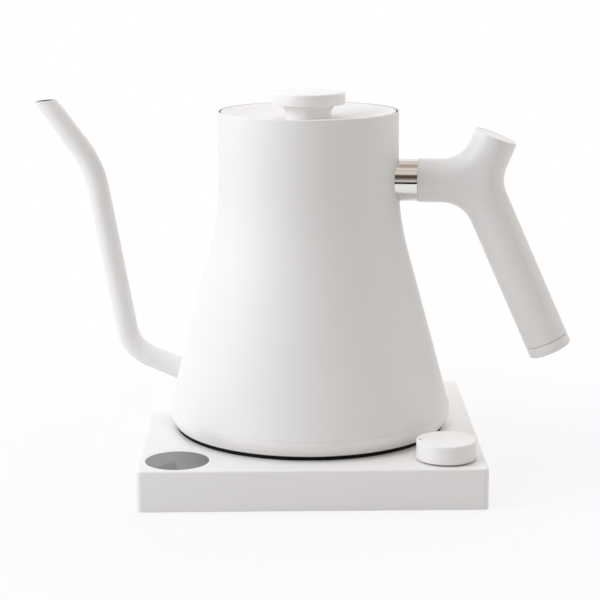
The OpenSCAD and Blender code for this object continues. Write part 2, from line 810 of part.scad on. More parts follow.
module handle_stud() {
    color(steel) on_base() difference() {
        union() {
            along([saddle_x, arm_z], [1, 0]) cylinder(r = stud_flange_r, h = neck_in - saddle_x + 4);
            along([saddle_x, arm_z], [1, 0]) cylinder(d = stud_d, h = stud_end_x - saddle_x, $fn = 48);
        }
        shell_form();
    }
}

// Threaded insert in the arm that the stud is turned into
module handle_nut() {
    color(brass) on_base() along([nut_x[0], arm_z], [1, 0]) difference() {
        cylinder(r = nut_r, h = nut_x[1] - nut_x[0], $fn = 48);
        translate([0, 0, -1]) cylinder(d = stud_d + 2 * eps, h = 20, $fn = 48);
    }
}

// A tube from a to b that bends round the fork, in the kettle's plane
module fork_tube(a, b) {
    path = concat([a], bend(a, fork, b, fork_r, fork_steps), [b]);
    tapered_tube(path, [for (p = path) tube_r], fork_fn);
}

// Fills the fork between the centre lines of its three bends
module fork_plate(t) {
    ends = [arm_start, stub_end, grip_end];
    translate([0, t / 2, 0]) rotate([90, 0, 0]) linear_extrude(t)
        polygon([for (i = [0:2]) each bend(ends[i], fork, ends[(i + 1) % 3], fork_r, fork_steps)]);
}

// Forked handle: arm, thumb stub and grip of one diameter with a round bend between each two
module handle_grip() {
    color(white_plastic) on_base() difference() {
        union() {
            fork_tube(arm_start, grip_end - cap_gap * grip_dir);
            fork_tube(arm_start, stub_end);
            fork_tube(stub_end, grip_end - cap_gap * grip_dir);
            fork_plate(2 * (tube_r - 0.02));
        }
        along(arm_start - [1, 0], [1, 0]) cylinder(d = stud_d + 4 * fit, h = stud_end_x - ferrule_x + 2, $fn = 48);
        along([nut_x[0], arm_z], [1, 0]) cylinder(r = nut_r + fit / 2, h = nut_x[1] - nut_x[0], $fn = 48);
        along(stub_end - stub_cap_t * stub_dir, stub_dir) cylinder(r = tube_r - stub_rim, h = stub_cap_t + 1);
        along(fork + weight_from * grip_dir, grip_dir) cylinder(d = weight_d + 2 * fit, h = weight_l + 1, $fn = 64);
    }
}

module stub_cap() {
    r = tube_r - stub_rim - fit;
    color(white_coat) on_base() along(stub_end - (stub_cap_t - eps) * stub_dir, stub_dir)
        cylinder(r = r, h = stub_cap_t - 0.2);
}

// Cap at the grip's lower end, with a spigot that holds the counterweight
module grip_cap() {
    spigot = 3;
    edge = 1.2;
    color(white_plastic) on_base() along(grip_end, grip_dir) {
        rotate_extrude()
            polygon(concat([[0, 0], [tube_r, 0]],
                           arc([tube_r - edge, grip_cap_l - edge], edge, 0, 90, 6),
                           [[0, grip_cap_l]]));
        translate([0, 0, -spigot]) cylinder(d = weight_d, h = spigot + eps, $fn = 64);
    }
}

module counterweight() {
    color(steel) on_base() along(fork + weight_from * grip_dir, grip_dir)
        translate([0, 0, 0.2]) cylinder(d = weight_d, h = weight_l - 3.4, $fn = 64);
}

// Steel floor under the water, with a rim turned down along the cone
module water_floor() {
    top = water_floor_z + water_floor_t;
    rim = 5;
    out = [for (z = [top, top - rim]) [cone_r(z) - shell_wall / cos(cone_angle) - fit, z]];
    inn = [for (z = [top - rim, water_floor_z]) [cone_r(z) - shell_wall / cos(cone_angle) - fit - 1, z]];
    color(steel) on_base() difference() {
        rotate_extrude($fn = 180)
            polygon([[0, water_floor_z], [0, top], out[0], out[1], inn[0], inn[1]]);
        rotate([0, 0, 90]) translate([probe_at, 0, water_floor_z - 1]) cylinder(r = seal_r, h = 4, $fn = 48);
    }
}

module heater_plate() {
    color("#a9abad") on_base() difference() {
        translate([0, 0, heater_z]) cylinder(d = heater_d, h = heater_t);
        rotate([0, 0, 90]) translate([probe_at, 0, heater_z - 1])
            cylinder(r = seal_r + 1.4, h = heater_t + 2, $fn = 48);
    }
}

// Sheathed element: an open ring under the heater plate with two tails towards the plug
module heating_element() {
    gap = 40;
    r = element_tube_d / 2;
    z = heater_z - r;
    color("#8a8580") on_base() {
        rotate([0, 0, -90 + gap / 2]) rotate_extrude(angle = 360 - gap)
            translate([element_d / 2, z]) circle(r = r, $fn = 32);
        for (s = [-1, 1]) rotate([0, 0, -90 + s * gap / 2]) translate([element_d / 2, 0, z - element_tail])
            cylinder(r = r - 0.6, h = element_tail, $fn = 32);
    }
}

module overheat_cutout() {
    color(black_plastic) on_base() for (s = [-1, 1]) rotate([0, 0, 180 + s * 20])
        translate([cutout_at, 0, heater_z - cutout_h]) {
            cylinder(r = cutout_r, h = cutout_h, $fn = 48);
            translate([-1.5, -0.4, -3]) cube([3, 0.8, 3 + eps]);
        }
}

module temperature_probe() {
    tip = water_floor_z + water_floor_t + probe_h;
    color(steel) on_base() rotate([0, 0, 90]) translate([probe_at, 0, 0]) {
        translate([0, 0, heater_z - 2]) cylinder(d = probe_d, h = tip - heater_z + 2 - probe_d / 2, $fn = 48);
        translate([0, 0, tip - probe_d / 2]) sphere(d = probe_d, $fn = 48);
    }
}

module probe_seal() {
    lip = 1.2;
    z = water_floor_z;
    color("#b9b4ae") on_base() rotate([0, 0, 90]) translate([probe_at, 0, 0]) rotate_extrude($fn = 48)
        polygon([[probe_d / 2, z - 2], [seal_r + lip, z - 2], [seal_r + lip, z - eps], [seal_r - eps, z - eps],
                 [seal_r - eps, z + water_floor_t], [seal_r + lip, z + water_floor_t],
                 [seal_r + lip - 0.4, z + water_floor_t + 1.2], [probe_d / 2, z + water_floor_t + 1.2]]);
}

// Kettle half of the connector: centre pin and earth ring point down into the socket
module connector_plug() {
    face = socket_h + plug_gap;
    top = heater_z - 0.4;
    r = plug_hole_r - slide_gap;
    color(black_plastic) on_base() difference() {
        rotate_extrude()
            polygon([[0, face], [r, face], [r, collar_top], [r + collar_t, collar_top],
                     [r + collar_t, collar_top + 1.5], [r - 3, collar_top + 1.5], [r - 5, top], [0, top]]);
        translate([0, 0, face - 1]) cylinder(r = pin_d / 2 + 0.6, h = 3, $fn = 48);
    }
}

module plug_contacts() {
    face = socket_h + plug_gap;
    pin_foot = 1.4;
    ring_foot = 2;
    r = ring_pin_d / 2;
    color(brass) on_base() {
        translate([0, 0, pin_foot + pin_d / 2]) cylinder(d = pin_d, h = face + 2 - pin_foot - pin_d / 2, $fn = 48);
        translate([0, 0, pin_foot + pin_d / 2]) sphere(d = pin_d, $fn = 48);
        translate([0, 0, ring_foot]) difference() {
            cylinder(r = r + ring_wall / 2, h = face - ring_foot);
            translate([0, 0, -1]) cylinder(r = r - ring_wall / 2, h = face);
        }
    }
}

// White band under the seam: skin, lip inside the shell and flange for the cover's screws
module bottom_band() {
    f = [belly_c, belly_z];
    top = seam_z - seam_gap / 2;
    high = asin((top - belly_z) / belly_round);
    low = stand_h;
    skin_end = f + belly_round * [cos(band_angle), -sin(band_angle)];
    foot_r = stand_d / 2 + band_overhang;
    flange_top = low + cover_t + band_flange_t;
    skin_r = foot_r + (skin_end[0] - foot_r) * (flange_top - low) / (skin_end[1] - low) - band_skin;
    lip_in = shell_wall + fit;
    color(white_plastic) on_base() difference() {
        rotate_extrude($fn = 180)
            polygon(concat(
                [[foot_r - 0.3, low], [foot_r, low + 0.3]],
                arc(f, belly_round, -band_angle, high, 8),
                [[cone_r(top) - lip_in, top], [cone_r(top + band_lip) - lip_in - 0.2, top + band_lip],
                 [cone_r(top + band_lip) - lip_in - band_skin, top + band_lip],
                 [belly_c + belly_round - band_skin - 1, top],
                 [skin_r, flange_top], [cover_screw_r - cover_flange / 2, flange_top],
                 [cover_screw_r - cover_flange / 2, low + cover_t],
                 [stand_d / 2 - 1, low + cover_t], [stand_d / 2 - 1, low]]));
        for (a = cover_screw_angles) rotate([0, 0, a]) translate([cover_screw_r, 0, 0])
            cylinder(r = screw_r, h = water_floor_z, $fn = 24);
    }
}

// Black underside: standing ring, plate and the collar that carries the plug
module bottom_cover() {
    ring_w = 4.5;
    out = stand_d / 2;
    color(black_plastic) on_base() difference() {
        rotate_extrude($fn = 180)
            polygon([[out - ring_w, 0], [out - 0.3, 0], [out, 0.3], [out, stand_h], [out - 1 - fit, stand_h],
                     [out - 1 - fit, stand_h + cover_t], [plug_hole_r + collar_t, stand_h + cover_t],
                     [plug_hole_r + collar_t, collar_top], [plug_hole_r, collar_top],
                     [plug_hole_r, stand_h], [out - ring_w, stand_h]]);
        for (a = cover_screw_angles) rotate([0, 0, a]) translate([cover_screw_r, 0, -1]) {
            cylinder(r = screw_r + fit, h = 6, $fn = 24);
            cylinder(r = screw_head_r + 2 * fit, h = 1 + stand_h, $fn = 32);
        }
    }
}

module cover_screws() {
    color(steel) on_base() for (a = cover_screw_angles) rotate([0, 0, a])
        translate([cover_screw_r, 0, stand_h]) screw(cover_t + band_flange_t + 0.4);
}

// ---- Lid ----

module lid_disc() {
    steps = 14;
    centre = [0, rim_z - dish_depth + dish_sphere];
    a_land = atan2(-(centre[1] - land_z), land_r);
    a_rim = atan2(-(centre[1] - rim_z), dish_r);
    color(white_coat) on_base() difference() {
        rotate_extrude($fn = 180)
            polygon(concat(
                [[lid_screw_r + fit, land_z]],
                arc(centre, dish_sphere, a_land, a_rim, steps),
                [[lid_r - lid_edge, rim_z], [lid_r, rim_z - lid_edge], [lid_r, rim_z - lid_t],
                 [dish_r, rim_z - lid_t - 0.4]],
                arc(centre, dish_sphere + lid_t, a_rim, a_land, steps),
                [[lid_screw_r + fit, land_z - lid_t]]));
        translate([0, land_r + (dish_r - land_r) / 2, land_z - 5]) cylinder(d = vent_d, h = 10, $fn = 32);
    }
}

// Collar under the lid that enters the neck, with a groove for the seal
module lid_skirt() {
    top = rim_z - lid_t - 0.4;
    groove = rim_z - seal_drop;
    color(steel) on_base() rotate_extrude($fn = 180)
        polygon([[skirt_r - skirt_t, rim_z - skirt_h], [skirt_r - 0.3, rim_z - skirt_h],
                 [skirt_r, rim_z - skirt_h + 0.3], [skirt_r, groove - seal_h],
                 [skirt_r - 0.4, groove - seal_h], [skirt_r - 0.4, groove], [skirt_r, groove], [skirt_r, top],
                 [skirt_r - skirt_t, top - 0.4]]);
}

module lid_seal() {
    r = neck_in - slide_gap;
    z = rim_z - seal_drop;
    color("#dad8d5") on_base() rotate_extrude($fn = 180)
        polygon([[skirt_r - 0.4, z - seal_h], [r - 0.4, z - seal_h], [r, z - seal_h + 1], [r, z - seal_h + 1.6],
                 [r - 0.5, z - seal_h / 2 + 0.1], [r, z - 1.4], [r, z - 0.8], [r - 0.4, z], [skirt_r - 0.4, z]]);
}

module lid_knob() {
    r = head_d / 2;
    top = rim_z + head_top;
    under = top - head_t;
    edge = 1;
    stem = stem_d / 2;
    color(white_plastic) on_base() difference() {
        rotate_extrude($fn = 128)
            polygon(concat([[0, land_z], [stem, land_z]],
                           arc([stem + stem_fillet, under - stem_fillet], stem_fillet, 180, 90, 8),
                           arc([r - edge / 2, under + edge / 2], edge / 2, -90, 0, 4),
                           arc([r - edge, top - edge], edge, 0, 90, 6),
                           [[0, top]]));
        translate([0, 0, land_z - 1]) cylinder(r = lid_screw_r, h = lid_screw_l, $fn = 32);
    }
}

module lid_washer() {
    color(steel) on_base() translate([0, 0, land_z - lid_t - lid_washer_t]) difference() {
        cylinder(r = lid_washer_r, h = lid_washer_t, $fn = 48);
        translate([0, 0, -1]) cylinder(r = lid_screw_r + fit, h = 4, $fn = 32);
    }
}

module lid_screw() {
    z = land_z - lid_t - lid_washer_t;
    color(steel) on_base() {
        translate([0, 0, z - 2]) cylinder(r = lid_screw_r + 1.6, h = 2, $fn = 32);
        translate([0, 0, z - eps]) cylinder(r = lid_screw_r, h = lid_screw_l, $fn = 32);
    }
}

base_cover();
base_floor();
foot_ring();
base_screws();
connector_socket();
socket_screws();
socket_contacts();
display_lens();
display_panel();
control_board();
power_board();
board_screws();
relay();
transformer();
encoder_body();
hold_switch_body();
unit_switch_body();
cord_gland();
encoder_plunger();
encoder_shaft();
control_knob();
knob_dot();
hold_slider();
unit_button();
body_shell();
spout();
ferrule();
handle_stud();
handle_nut();
handle_grip();
stub_cap();
grip_cap();
counterweight();
water_floor();
heater_plate();
heating_element();
overheat_cutout();
temperature_probe();
probe_seal();
connector_plug();
plug_contacts();
bottom_band();
bottom_cover();
cover_screws();
lid_disc();
lid_skirt();
lid_seal();
lid_knob();
lid_screw();
lid_washer();
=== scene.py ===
# Gooseneck kettle on its square power base: smooth outer pieces and the finish of every surface.
# Metres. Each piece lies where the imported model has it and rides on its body.
from math import acos, asin, atan2, cos, hypot, pi, radians, sin, sqrt, tan

import bmesh
import bpy
from mathutils import Matrix, Vector

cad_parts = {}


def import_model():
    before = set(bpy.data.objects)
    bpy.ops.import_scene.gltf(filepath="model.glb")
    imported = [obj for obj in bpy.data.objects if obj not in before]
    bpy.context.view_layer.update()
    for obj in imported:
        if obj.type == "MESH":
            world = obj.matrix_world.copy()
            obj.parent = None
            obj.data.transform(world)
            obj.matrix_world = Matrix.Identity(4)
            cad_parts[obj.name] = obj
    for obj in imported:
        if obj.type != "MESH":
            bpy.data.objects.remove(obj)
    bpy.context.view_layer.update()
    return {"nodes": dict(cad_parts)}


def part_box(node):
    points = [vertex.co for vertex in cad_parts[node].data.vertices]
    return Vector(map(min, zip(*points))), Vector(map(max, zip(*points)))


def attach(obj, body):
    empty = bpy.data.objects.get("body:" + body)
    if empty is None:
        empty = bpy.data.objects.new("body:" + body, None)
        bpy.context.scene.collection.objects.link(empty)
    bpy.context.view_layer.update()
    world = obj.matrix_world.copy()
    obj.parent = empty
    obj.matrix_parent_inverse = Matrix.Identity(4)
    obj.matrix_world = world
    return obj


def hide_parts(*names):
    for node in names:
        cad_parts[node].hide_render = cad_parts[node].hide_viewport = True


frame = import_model()

MM = 0.001
ROUND = 192          # steps of a full turn on the large pieces
BODY_ROUND = 256     # the same on the kettle's body
TOLERANCE = 1e-6     # points this close are one point
LEVEL_FACE = 0.95    # cosine above which a face counts as level


# ---- Sizes of the base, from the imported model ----

base_low, base_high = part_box("base_cover")
BASE_SIDE = base_high.x - base_low.x
BASE_TOP = base_high.z
BASE_WALL = 2.2 * MM
BASE_CORNER = 3 * MM
BASE_EDGE = 1.2 * MM
BASE_ROOF = BASE_TOP - BASE_WALL
FLOOR_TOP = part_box("base_floor")[0].z + 2 * MM

lens_low, lens_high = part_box("display_lens")
LENS_AT = (lens_low + lens_high) / 2
LENS_R = (lens_high.x - lens_low.x) / 2
LENS_T = lens_high.z - lens_low.z
LENS_LEDGE = 2.4 * MM
PART_GAP = 0.1 * MM

knob_low, knob_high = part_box("control_knob")
KNOB_AT = (knob_low + knob_high) / 2
KNOB_R = (knob_high.x - knob_low.x) / 2
KNOB_EDGE = 0.8 * MM
KNOB_WALL = 2 * MM
KNOB_ROOF = 1.6 * MM
SHAFT_R = 3 * MM
BUSHING_R = SHAFT_R + 0.8 * MM
dot_low, dot_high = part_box("knob_dot")
DOT_GAP = 0.02 * MM

SOCKET_R = 20 * MM
REAR_FACE = base_high.y
REAR_REACH = 6 * MM
gland_low, gland_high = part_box("cord_gland")
GLAND_AT = (gland_low + gland_high) / 2
GLAND_R = 5.5 * MM
button_low, button_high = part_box("unit_button")
BUTTON_AT = (button_low + button_high) / 2
BUTTON_R = 2.5 * MM
slider_low, slider_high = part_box("hold_slider")
SLIDER_AT = (slider_low + slider_high) / 2
THUMB = (3.2 * MM, 3 * MM)
HOLD_TRAVEL = 3 * MM
SLIDE_GAP = 0.3 * MM
BOSS_R = 4 * MM
BOSS_SINK = 0.05 * MM
BOSS_ROOF = 2 * MM
SCREW_R = 1.5 * MM
screws_low, screws_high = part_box("base_screws")
SCREW_HEAD_R = 2.8 * MM

# ---- Sizes of the kettle: radius or distance from its axis, and height above the base ----

TURN = radians(-7.5)
BELLY_R = 75 * MM
BELLY_Z = 9.5 * MM
BELLY_ROUND = 6 * MM
NECK_R = 47.2 * MM
RIM_Z = 168.3 * MM
CONE = radians(15.1)
BLEND_R = 150 * MM
SHELL_WALL = 0.8 * MM
SEAM_Z = 10.6 * MM
SEAM_GAP = 0.06 * MM
SEAM_EDGE = 0.05 * MM
BAND_ANGLE = radians(28)
BAND_LIP = 4 * MM
BAND_SKIN = 1.6 * MM
STAND_R = 71.1 * MM
STAND_H = 2.2 * MM
BAND_FOOT_R = STAND_R + 0.8 * MM
COVER_T = 1.5 * MM
BAND_FLANGE = 2 * MM
COVER_SCREW_R = STAND_R - 6.5 * MM

SPOUT_R = 5.7 * MM
SPOUT_TIP_R = 4.2 * MM
SPOUT_WALL = 0.8 * MM
SPOUT_ROOT_Z = 28.4 * MM
SPOUT_RISE = radians(22)
SPOUT_LOW_X = 96.9 * MM
SPOUT_LEAN = radians(10.3)
SPOUT_HIGH_Z = 138 * MM
SPOUT_TIP_LEAN = radians(36)
SPOUT_LIP_LEAN = radians(39)
SPOUT_LIP = 8 * MM
SPOUT_MOUTH_Z = 172.5 * MM
MOUTH_LEAN = radians(5.5)
MOUTH_TRIM = 0.07 * MM
SPOUT_BENDS = (20 * MM, 56 * MM, 24 * MM)
SPOUT_TAPER_FROM = 0.86

ARM_Z = 132.4 * MM
TUBE_R = 11.35 * MM
FERRULE_R = 11.05 * MM
FERRULE_WALL = 1.2 * MM
FERRULE_X = 57.6 * MM
FERRULE_SINK = 3 * MM
FORK = (88.2 * MM, ARM_Z)
GRIP_LEAN = radians(24)
GRIP_L = 97.37 * MM
STUB_LEAN = radians(21.6)
STUB_L = 25.4 * MM
FORK_R = 28 * MM
GRIP_CAP = 5.6 * MM
CAP_GAP = 0.2 * MM
STUB_RIM = 1 * MM
STUB_CAP = 1.4 * MM
STUB_DISC = 1.2 * MM
STUB_EDGE = 0.25 * MM

LID_GAP = 0.65 * MM
LID_T = 1 * MM
LID_EDGE = 0.4 * MM
DISH_DEPTH = 5.6 * MM
HEAD_R = 19.3 * MM
HEAD_TOP = 9.7 * MM
HEAD_T = 6.2 * MM
STEM_R = 12 * MM
STEM_FILLET = 5 * MM
LID_SCREW_R = 2 * MM
VENT_R = 1.5 * MM


# ---- Outlines ----

def arc(centre, radius, start, end, steps):
    """Points of an arc in the plane of an outline, from angle start to end."""
    angles = [start + (end - start) * i / steps for i in range(steps + 1)]
    return [(centre[0] + radius * cos(a), centre[1] + radius * sin(a)) for a in angles]


def bend(a, b, c, radius, steps):
    """The arc that rounds the corner b of the line a-b-c: its points, its centre and its angle."""
    corner = Vector(b)
    u, v = (Vector(a) - corner).normalized(), (Vector(c) - corner).normalized()
    half = acos(u.dot(v)) / 2
    centre = corner + (u + v).normalized() * radius / sin(half)
    first = corner + u * radius / tan(half) - centre
    last = corner + v * radius / tan(half) - centre
    angle = pi - 2 * half
    points = [centre + (sin(angle * (1 - i / steps)) * first
                        + sin(angle * i / steps) * last) / sin(angle) for i in range(steps + 1)]
    return points, centre, angle


CONE_FOOT = (BELLY_R - BELLY_ROUND * (1 - cos(CONE)), BELLY_Z + BELLY_ROUND * sin(CONE))
KNEE_Z = CONE_FOOT[1] + (CONE_FOOT[0] - NECK_R) / tan(CONE)


def cone_radius(z):
    """Radius of the body's cone at height z."""
    return CONE_FOOT[0] - (z - CONE_FOOT[1]) * tan(CONE)


def shell_line(inset):
    """Outline of the shell from its seam to the neck, moved in by inset."""
    low = max(asin((SEAM_Z + SEAM_GAP / 2 - BELLY_Z) / BELLY_ROUND), 0)
    blend_at = (NECK_R + BLEND_R, KNEE_Z + BLEND_R * tan(CONE / 2))
    return (arc((BELLY_R - BELLY_ROUND, BELLY_Z), BELLY_ROUND - inset, low, CONE, 6)
            + arc(blend_at, BLEND_R + inset, pi + CONE, pi, 28))


LID_R = NECK_R - SHELL_WALL - LID_GAP
DISH_R = LID_R - 0.9 * MM
DISH_SPHERE = (DISH_R ** 2 + DISH_DEPTH ** 2) / (2 * DISH_DEPTH)
LAND_R = STEM_R + 0.6 * MM
LAND_Z = RIM_Z - DISH_DEPTH + DISH_SPHERE - sqrt(DISH_SPHERE ** 2 - LAND_R ** 2)


# ---- Modelling ----

def only(piece):
    """Makes a piece the only one selected, and the active one."""
    bpy.ops.object.select_all(action="DESELECT")
    piece.select_set(True)
    bpy.context.view_layer.objects.active = piece
    return piece


def open_mesh(piece):
    """Opens a piece's mesh for editing, with all of it selected."""
    only(piece)
    bpy.ops.object.mode_set(mode="EDIT")
    bpy.ops.mesh.select_all(action="SELECT")


def close_mesh():
    """Merges what coincides, turns the faces outwards and ends the editing."""
    bpy.ops.mesh.select_mode(type="VERT")
    bpy.ops.mesh.select_all(action="SELECT")
    bpy.ops.mesh.remove_doubles(threshold=TOLERANCE)
    bpy.ops.mesh.normals_make_consistent(inside=False)
    bpy.ops.object.mode_set(mode="OBJECT")
    return bpy.context.object


def select(kind, test):
    """Selects the vertices, edges or faces of the open mesh that pass a test, and counts them."""
    bpy.ops.mesh.select_mode(type=kind)
    bpy.ops.mesh.select_all(action="DESELECT")
    mesh = bmesh.from_edit_mesh(bpy.context.object.data)
    items = {"VERT": mesh.verts, "EDGE": mesh.edges, "FACE": mesh.faces}[kind]
    chosen = [item for item in items if test(item)]
    for item in chosen:
        item.select_set(True)
    bmesh.update_edit_mesh(bpy.context.object.data)
    return len(chosen)


def first_point(place):
    """Starts a mesh as one vertex and leaves it open."""
    bpy.ops.object.select_all(action="DESELECT")
    bpy.ops.mesh.primitive_plane_add(size=MM)
    bpy.ops.object.mode_set(mode="EDIT")
    bpy.ops.mesh.select_all(action="SELECT")
    bpy.ops.mesh.merge(type="CENTER")
    bpy.ops.transform.translate(value=place)


def extrude(move):
    """Extrudes what is selected of the open mesh."""
    bpy.ops.mesh.extrude_region_move(TRANSFORM_OT_translate={"value": tuple(move)})


def turned(outline, steps=ROUND):
    """A closed piece turned on the Z axis from its outline of (radius, height)."""
    points = [Vector((r, 0, z)) for r, z in outline]
    first_point(points[0])
    for a, b in zip(points, points[1:] + points[:1]):
        extrude(b - a)
    bpy.ops.mesh.select_all(action="SELECT")
    bpy.ops.mesh.remove_doubles(threshold=TOLERANCE / 10)
    bpy.ops.mesh.spin(steps=steps, angle=2 * pi, center=(0, 0, 0), axis=(0, 0, 1))
    bpy.ops.mesh.select_all(action="SELECT")
    bpy.ops.mesh.remove_doubles(threshold=TOLERANCE)
    if any(r < TOLERANCE for r, _ in outline):
        select("EDGE", lambda e: all(hypot(v.co.x, v.co.y) < TOLERANCE for v in e.verts))
        bpy.ops.mesh.delete(type="EDGE")
    return close_mesh()


def place(piece, move=(0, 0, 0), turn=(0, 0, 0)):
    """Turns and moves a piece, and keeps its place in its mesh."""
    only(piece)
    piece.rotation_euler = turn
    piece.location = move
    bpy.ops.object.transform_apply(location=True, rotation=True, scale=True)
    return piece


def on_base(piece):
    """Puts a piece of the kettle, drawn in its own plane, on the base."""
    return place(piece, move=(0, 0, BASE_TOP), turn=(0, 0, TURN))


def along(piece, start, direction):
    """Lays a piece that is drawn along Z in the kettle's plane, from start in that direction."""
    return place(piece, move=(start[0], 0, start[1]), turn=(0, atan2(direction[0], direction[1]), 0))


def rod(radius, low, high, at=(0, 0), steps=96):
    """A plain cylinder along Z, to cut with."""
    bpy.ops.object.select_all(action="DESELECT")
    bpy.ops.mesh.primitive_cylinder_add(vertices=steps, radius=radius, depth=high - low,
                                        location=(at[0], at[1], (low + high) / 2))
    return place(bpy.context.object, move=bpy.context.object.location)


def block(low, high):
    """A plain box between two corners, to cut with or to start from."""
    low, high = Vector(low), Vector(high)
    bpy.ops.object.select_all(action="DESELECT")
    bpy.ops.mesh.primitive_cube_add(size=1, location=(low + high) / 2)
    piece = bpy.context.object
    piece.scale = high - low
    bpy.ops.object.transform_apply(location=True, rotation=True, scale=True)
    return piece


def apply_modifier(piece, kind, **settings):
    """Adds a modifier with its settings to a piece and applies it."""
    only(piece)
    modifier = piece.modifiers.new(kind.lower(), kind)
    for key, value in settings.items():
        setattr(modifier, key, value)
    bpy.ops.object.modifier_apply(modifier=modifier.name)
    return piece


def cut(piece, *cutters):
    """Cuts pieces out of a piece, and removes them."""
    for cutter in cutters:
        apply_modifier(piece, "BOOLEAN", operation="DIFFERENCE", solver="EXACT", object=cutter)
        bpy.data.objects.remove(cutter)
    return piece


def join(piece, *others):
    """Joins pieces into one object."""
    only(piece)
    for other in others:
        other.select_set(True)
    bpy.ops.object.join()
    return piece


def coat(piece, *materials):
    """Puts materials on a piece in place of what it has."""
    piece.data.materials.clear()
    for material in materials:
        piece.data.materials.append(material)


def finish(piece, name, material, slot, body, *nodes, smooth=35):
    """Names a piece, gives it its finish, and puts it on its body in place of its nodes."""
    piece.name = piece.data.name = name
    only(piece)
    bpy.ops.object.shade_smooth_by_angle(angle=radians(smooth))
    if material:
        coat(piece, material)
    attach(piece, body)
    if nodes:
        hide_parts(*nodes)
    return piece


def smooth_copy(node, edge):
    """A merged copy of a CAD node, with a small round on its sharp edges."""
    piece = bpy.data.objects.new(node, frame["nodes"][node].data.copy())
    bpy.context.scene.collection.objects.link(piece)
    open_mesh(piece)
    bpy.ops.mesh.remove_doubles(threshold=TOLERANCE)
    bpy.ops.mesh.dissolve_limited(angle_limit=radians(0.5))
    bpy.ops.object.mode_set(mode="OBJECT")
    return apply_modifier(piece, "BEVEL", width=edge, segments=2, limit_method="ANGLE",
                          angle_limit=radians(32))


# ---- Materials ----

def rgb(code):
    """Linear colour of an sRGB hex value."""
    values = [int(code[i:i + 2], 16) / 255 for i in (0, 2, 4)]
    return [v / 12.92 if v <= 0.04045 else ((v + 0.055) / 1.055) ** 2.4 for v in values] + [1]


def add(tree, kind, settings=None, links=None):
    """Adds a node with its settings: links holds a value or the socket that feeds each input."""
    node = tree.nodes.new(kind)
    for key, value in (settings or {}).items():
        setattr(node, key, value)
    for key, value in (links or {}).items():
        if isinstance(value, bpy.types.NodeSocket):
            tree.links.new(value, node.inputs[key])
        else:
            node.inputs[key].default_value = value
    return node


def surface(name, grain, **shader):
    """A new material with its shader, and the factor of a fine grain of the given size in metres."""
    material = bpy.data.materials.new(name)
    material.use_nodes = True
    tree = material.node_tree
    tree.nodes.clear()
    coords = add(tree, "ShaderNodeTexCoord").outputs["Object"]
    noise = add(tree, "ShaderNodeTexNoise", links={
        "Vector": coords, "Scale": 1 / grain, "Detail": 3.0, "Roughness": 0.6})
    bsdf = add(tree, "ShaderNodeBsdfPrincipled", links=shader)
    add(tree, "ShaderNodeOutputMaterial", links={"Surface": bsdf.outputs["BSDF"]})
    return material, tree, coords, noise.outputs["Fac"], bsdf


def patches(tree, coords, size):
    """Factor of a soft variation over patches of the given size in metres."""
    return add(tree, "ShaderNodeTexNoise", links={
        "Vector": coords, "Scale": 1 / size, "Detail": 2.0}).outputs["Fac"]


def fine_lines(tree, coords, stretch, detail):
    """Factor of fine lines: noise with its own scale along each axis."""
    lines = add(tree, "ShaderNodeMapping", links={"Vector": coords, "Scale": stretch})
    return add(tree, "ShaderNodeTexNoise", links={
        "Vector": lines.outputs["Vector"], "Scale": 1.0, "Detail": detail}).outputs["Fac"]


def tint(tree, factor, low, high):
    """Colour between two hex values by a factor."""
    mix = add(tree, "ShaderNodeMix", {"data_type": "RGBA"}, {"Factor": factor})
    mix.inputs[6].default_value = rgb(low)
    mix.inputs[7].default_value = rgb(high)
    return mix.outputs[2]


def vary(tree, factor, low, high):
    """Value between two numbers by a factor."""
    return add(tree, "ShaderNodeMapRange", links={
        "Value": factor, "To Min": low, "To Max": high}).outputs["Result"]


def around(tree, factor, value, spread=0.08):
    """Value that varies round its middle by a factor."""
    return vary(tree, factor, value - spread, value + spread)


def bump(tree, height, depth, strength):
    """Normal of a relief of the given depth in metres."""
    return add(tree, "ShaderNodeBump", links={
        "Height": height, "Distance": depth, "Strength": strength}).outputs["Normal"]


def feed(tree, bsdf, colour, roughness, normal=None):
    """Links a shader's colour and roughness, and its normal where there is a relief."""
    tree.links.new(colour, bsdf.inputs["Base Color"])
    tree.links.new(roughness, bsdf.inputs["Roughness"])
    if normal is not None:
        tree.links.new(normal, bsdf.inputs["Normal"])


def powder_coat():
    """Fine-texture powder coat, baked on steel: matt, with a grain like fine sand."""
    material, tree, coords, noise, bsdf = surface("baked_white_powder_coat", 0.9 * MM, IOR=1.5)
    feed(tree, bsdf, tint(tree, patches(tree, coords, 60 * MM), "e9e7e5", "edebe9"),
         vary(tree, noise, 0.5, 0.62), bump(tree, noise, 0.03 * MM, 0.35))
    return material


def moulded_white(name, low, high, roughness, grain):
    """White ABS, moulded in a tool with a fine spark-eroded texture."""
    material, tree, coords, noise, bsdf = surface(name, grain, IOR=1.53)
    feed(tree, bsdf, tint(tree, patches(tree, coords, 45 * MM), low, high),
         around(tree, noise, roughness, 0.05), bump(tree, noise, 0.02 * MM, 0.3))
    return material


def black_plastic(name, low, high, roughness, sheen):
    """Black glass-filled nylon, moulded: dark grey in the light, with a fine matt skin."""
    material, tree, _, noise, bsdf = surface(name, 0.5 * MM, **{
        "IOR": 1.53, "Specular IOR Level": sheen})
    feed(tree, bsdf, tint(tree, noise, low, high), around(tree, noise, roughness),
         bump(tree, noise, 0.03 * MM, 0.4))
    return material


def soft_rubber(name, low, high):
    """Moulded rubber or silicone: dull, slightly dusty skin."""
    material, tree, _, noise, bsdf = surface(name, 0.9 * MM, IOR=1.43)
    feed(tree, bsdf, tint(tree, noise, low, high), vary(tree, noise, 0.65, 0.85),
         bump(tree, noise, 0.04 * MM, 0.4))
    return material


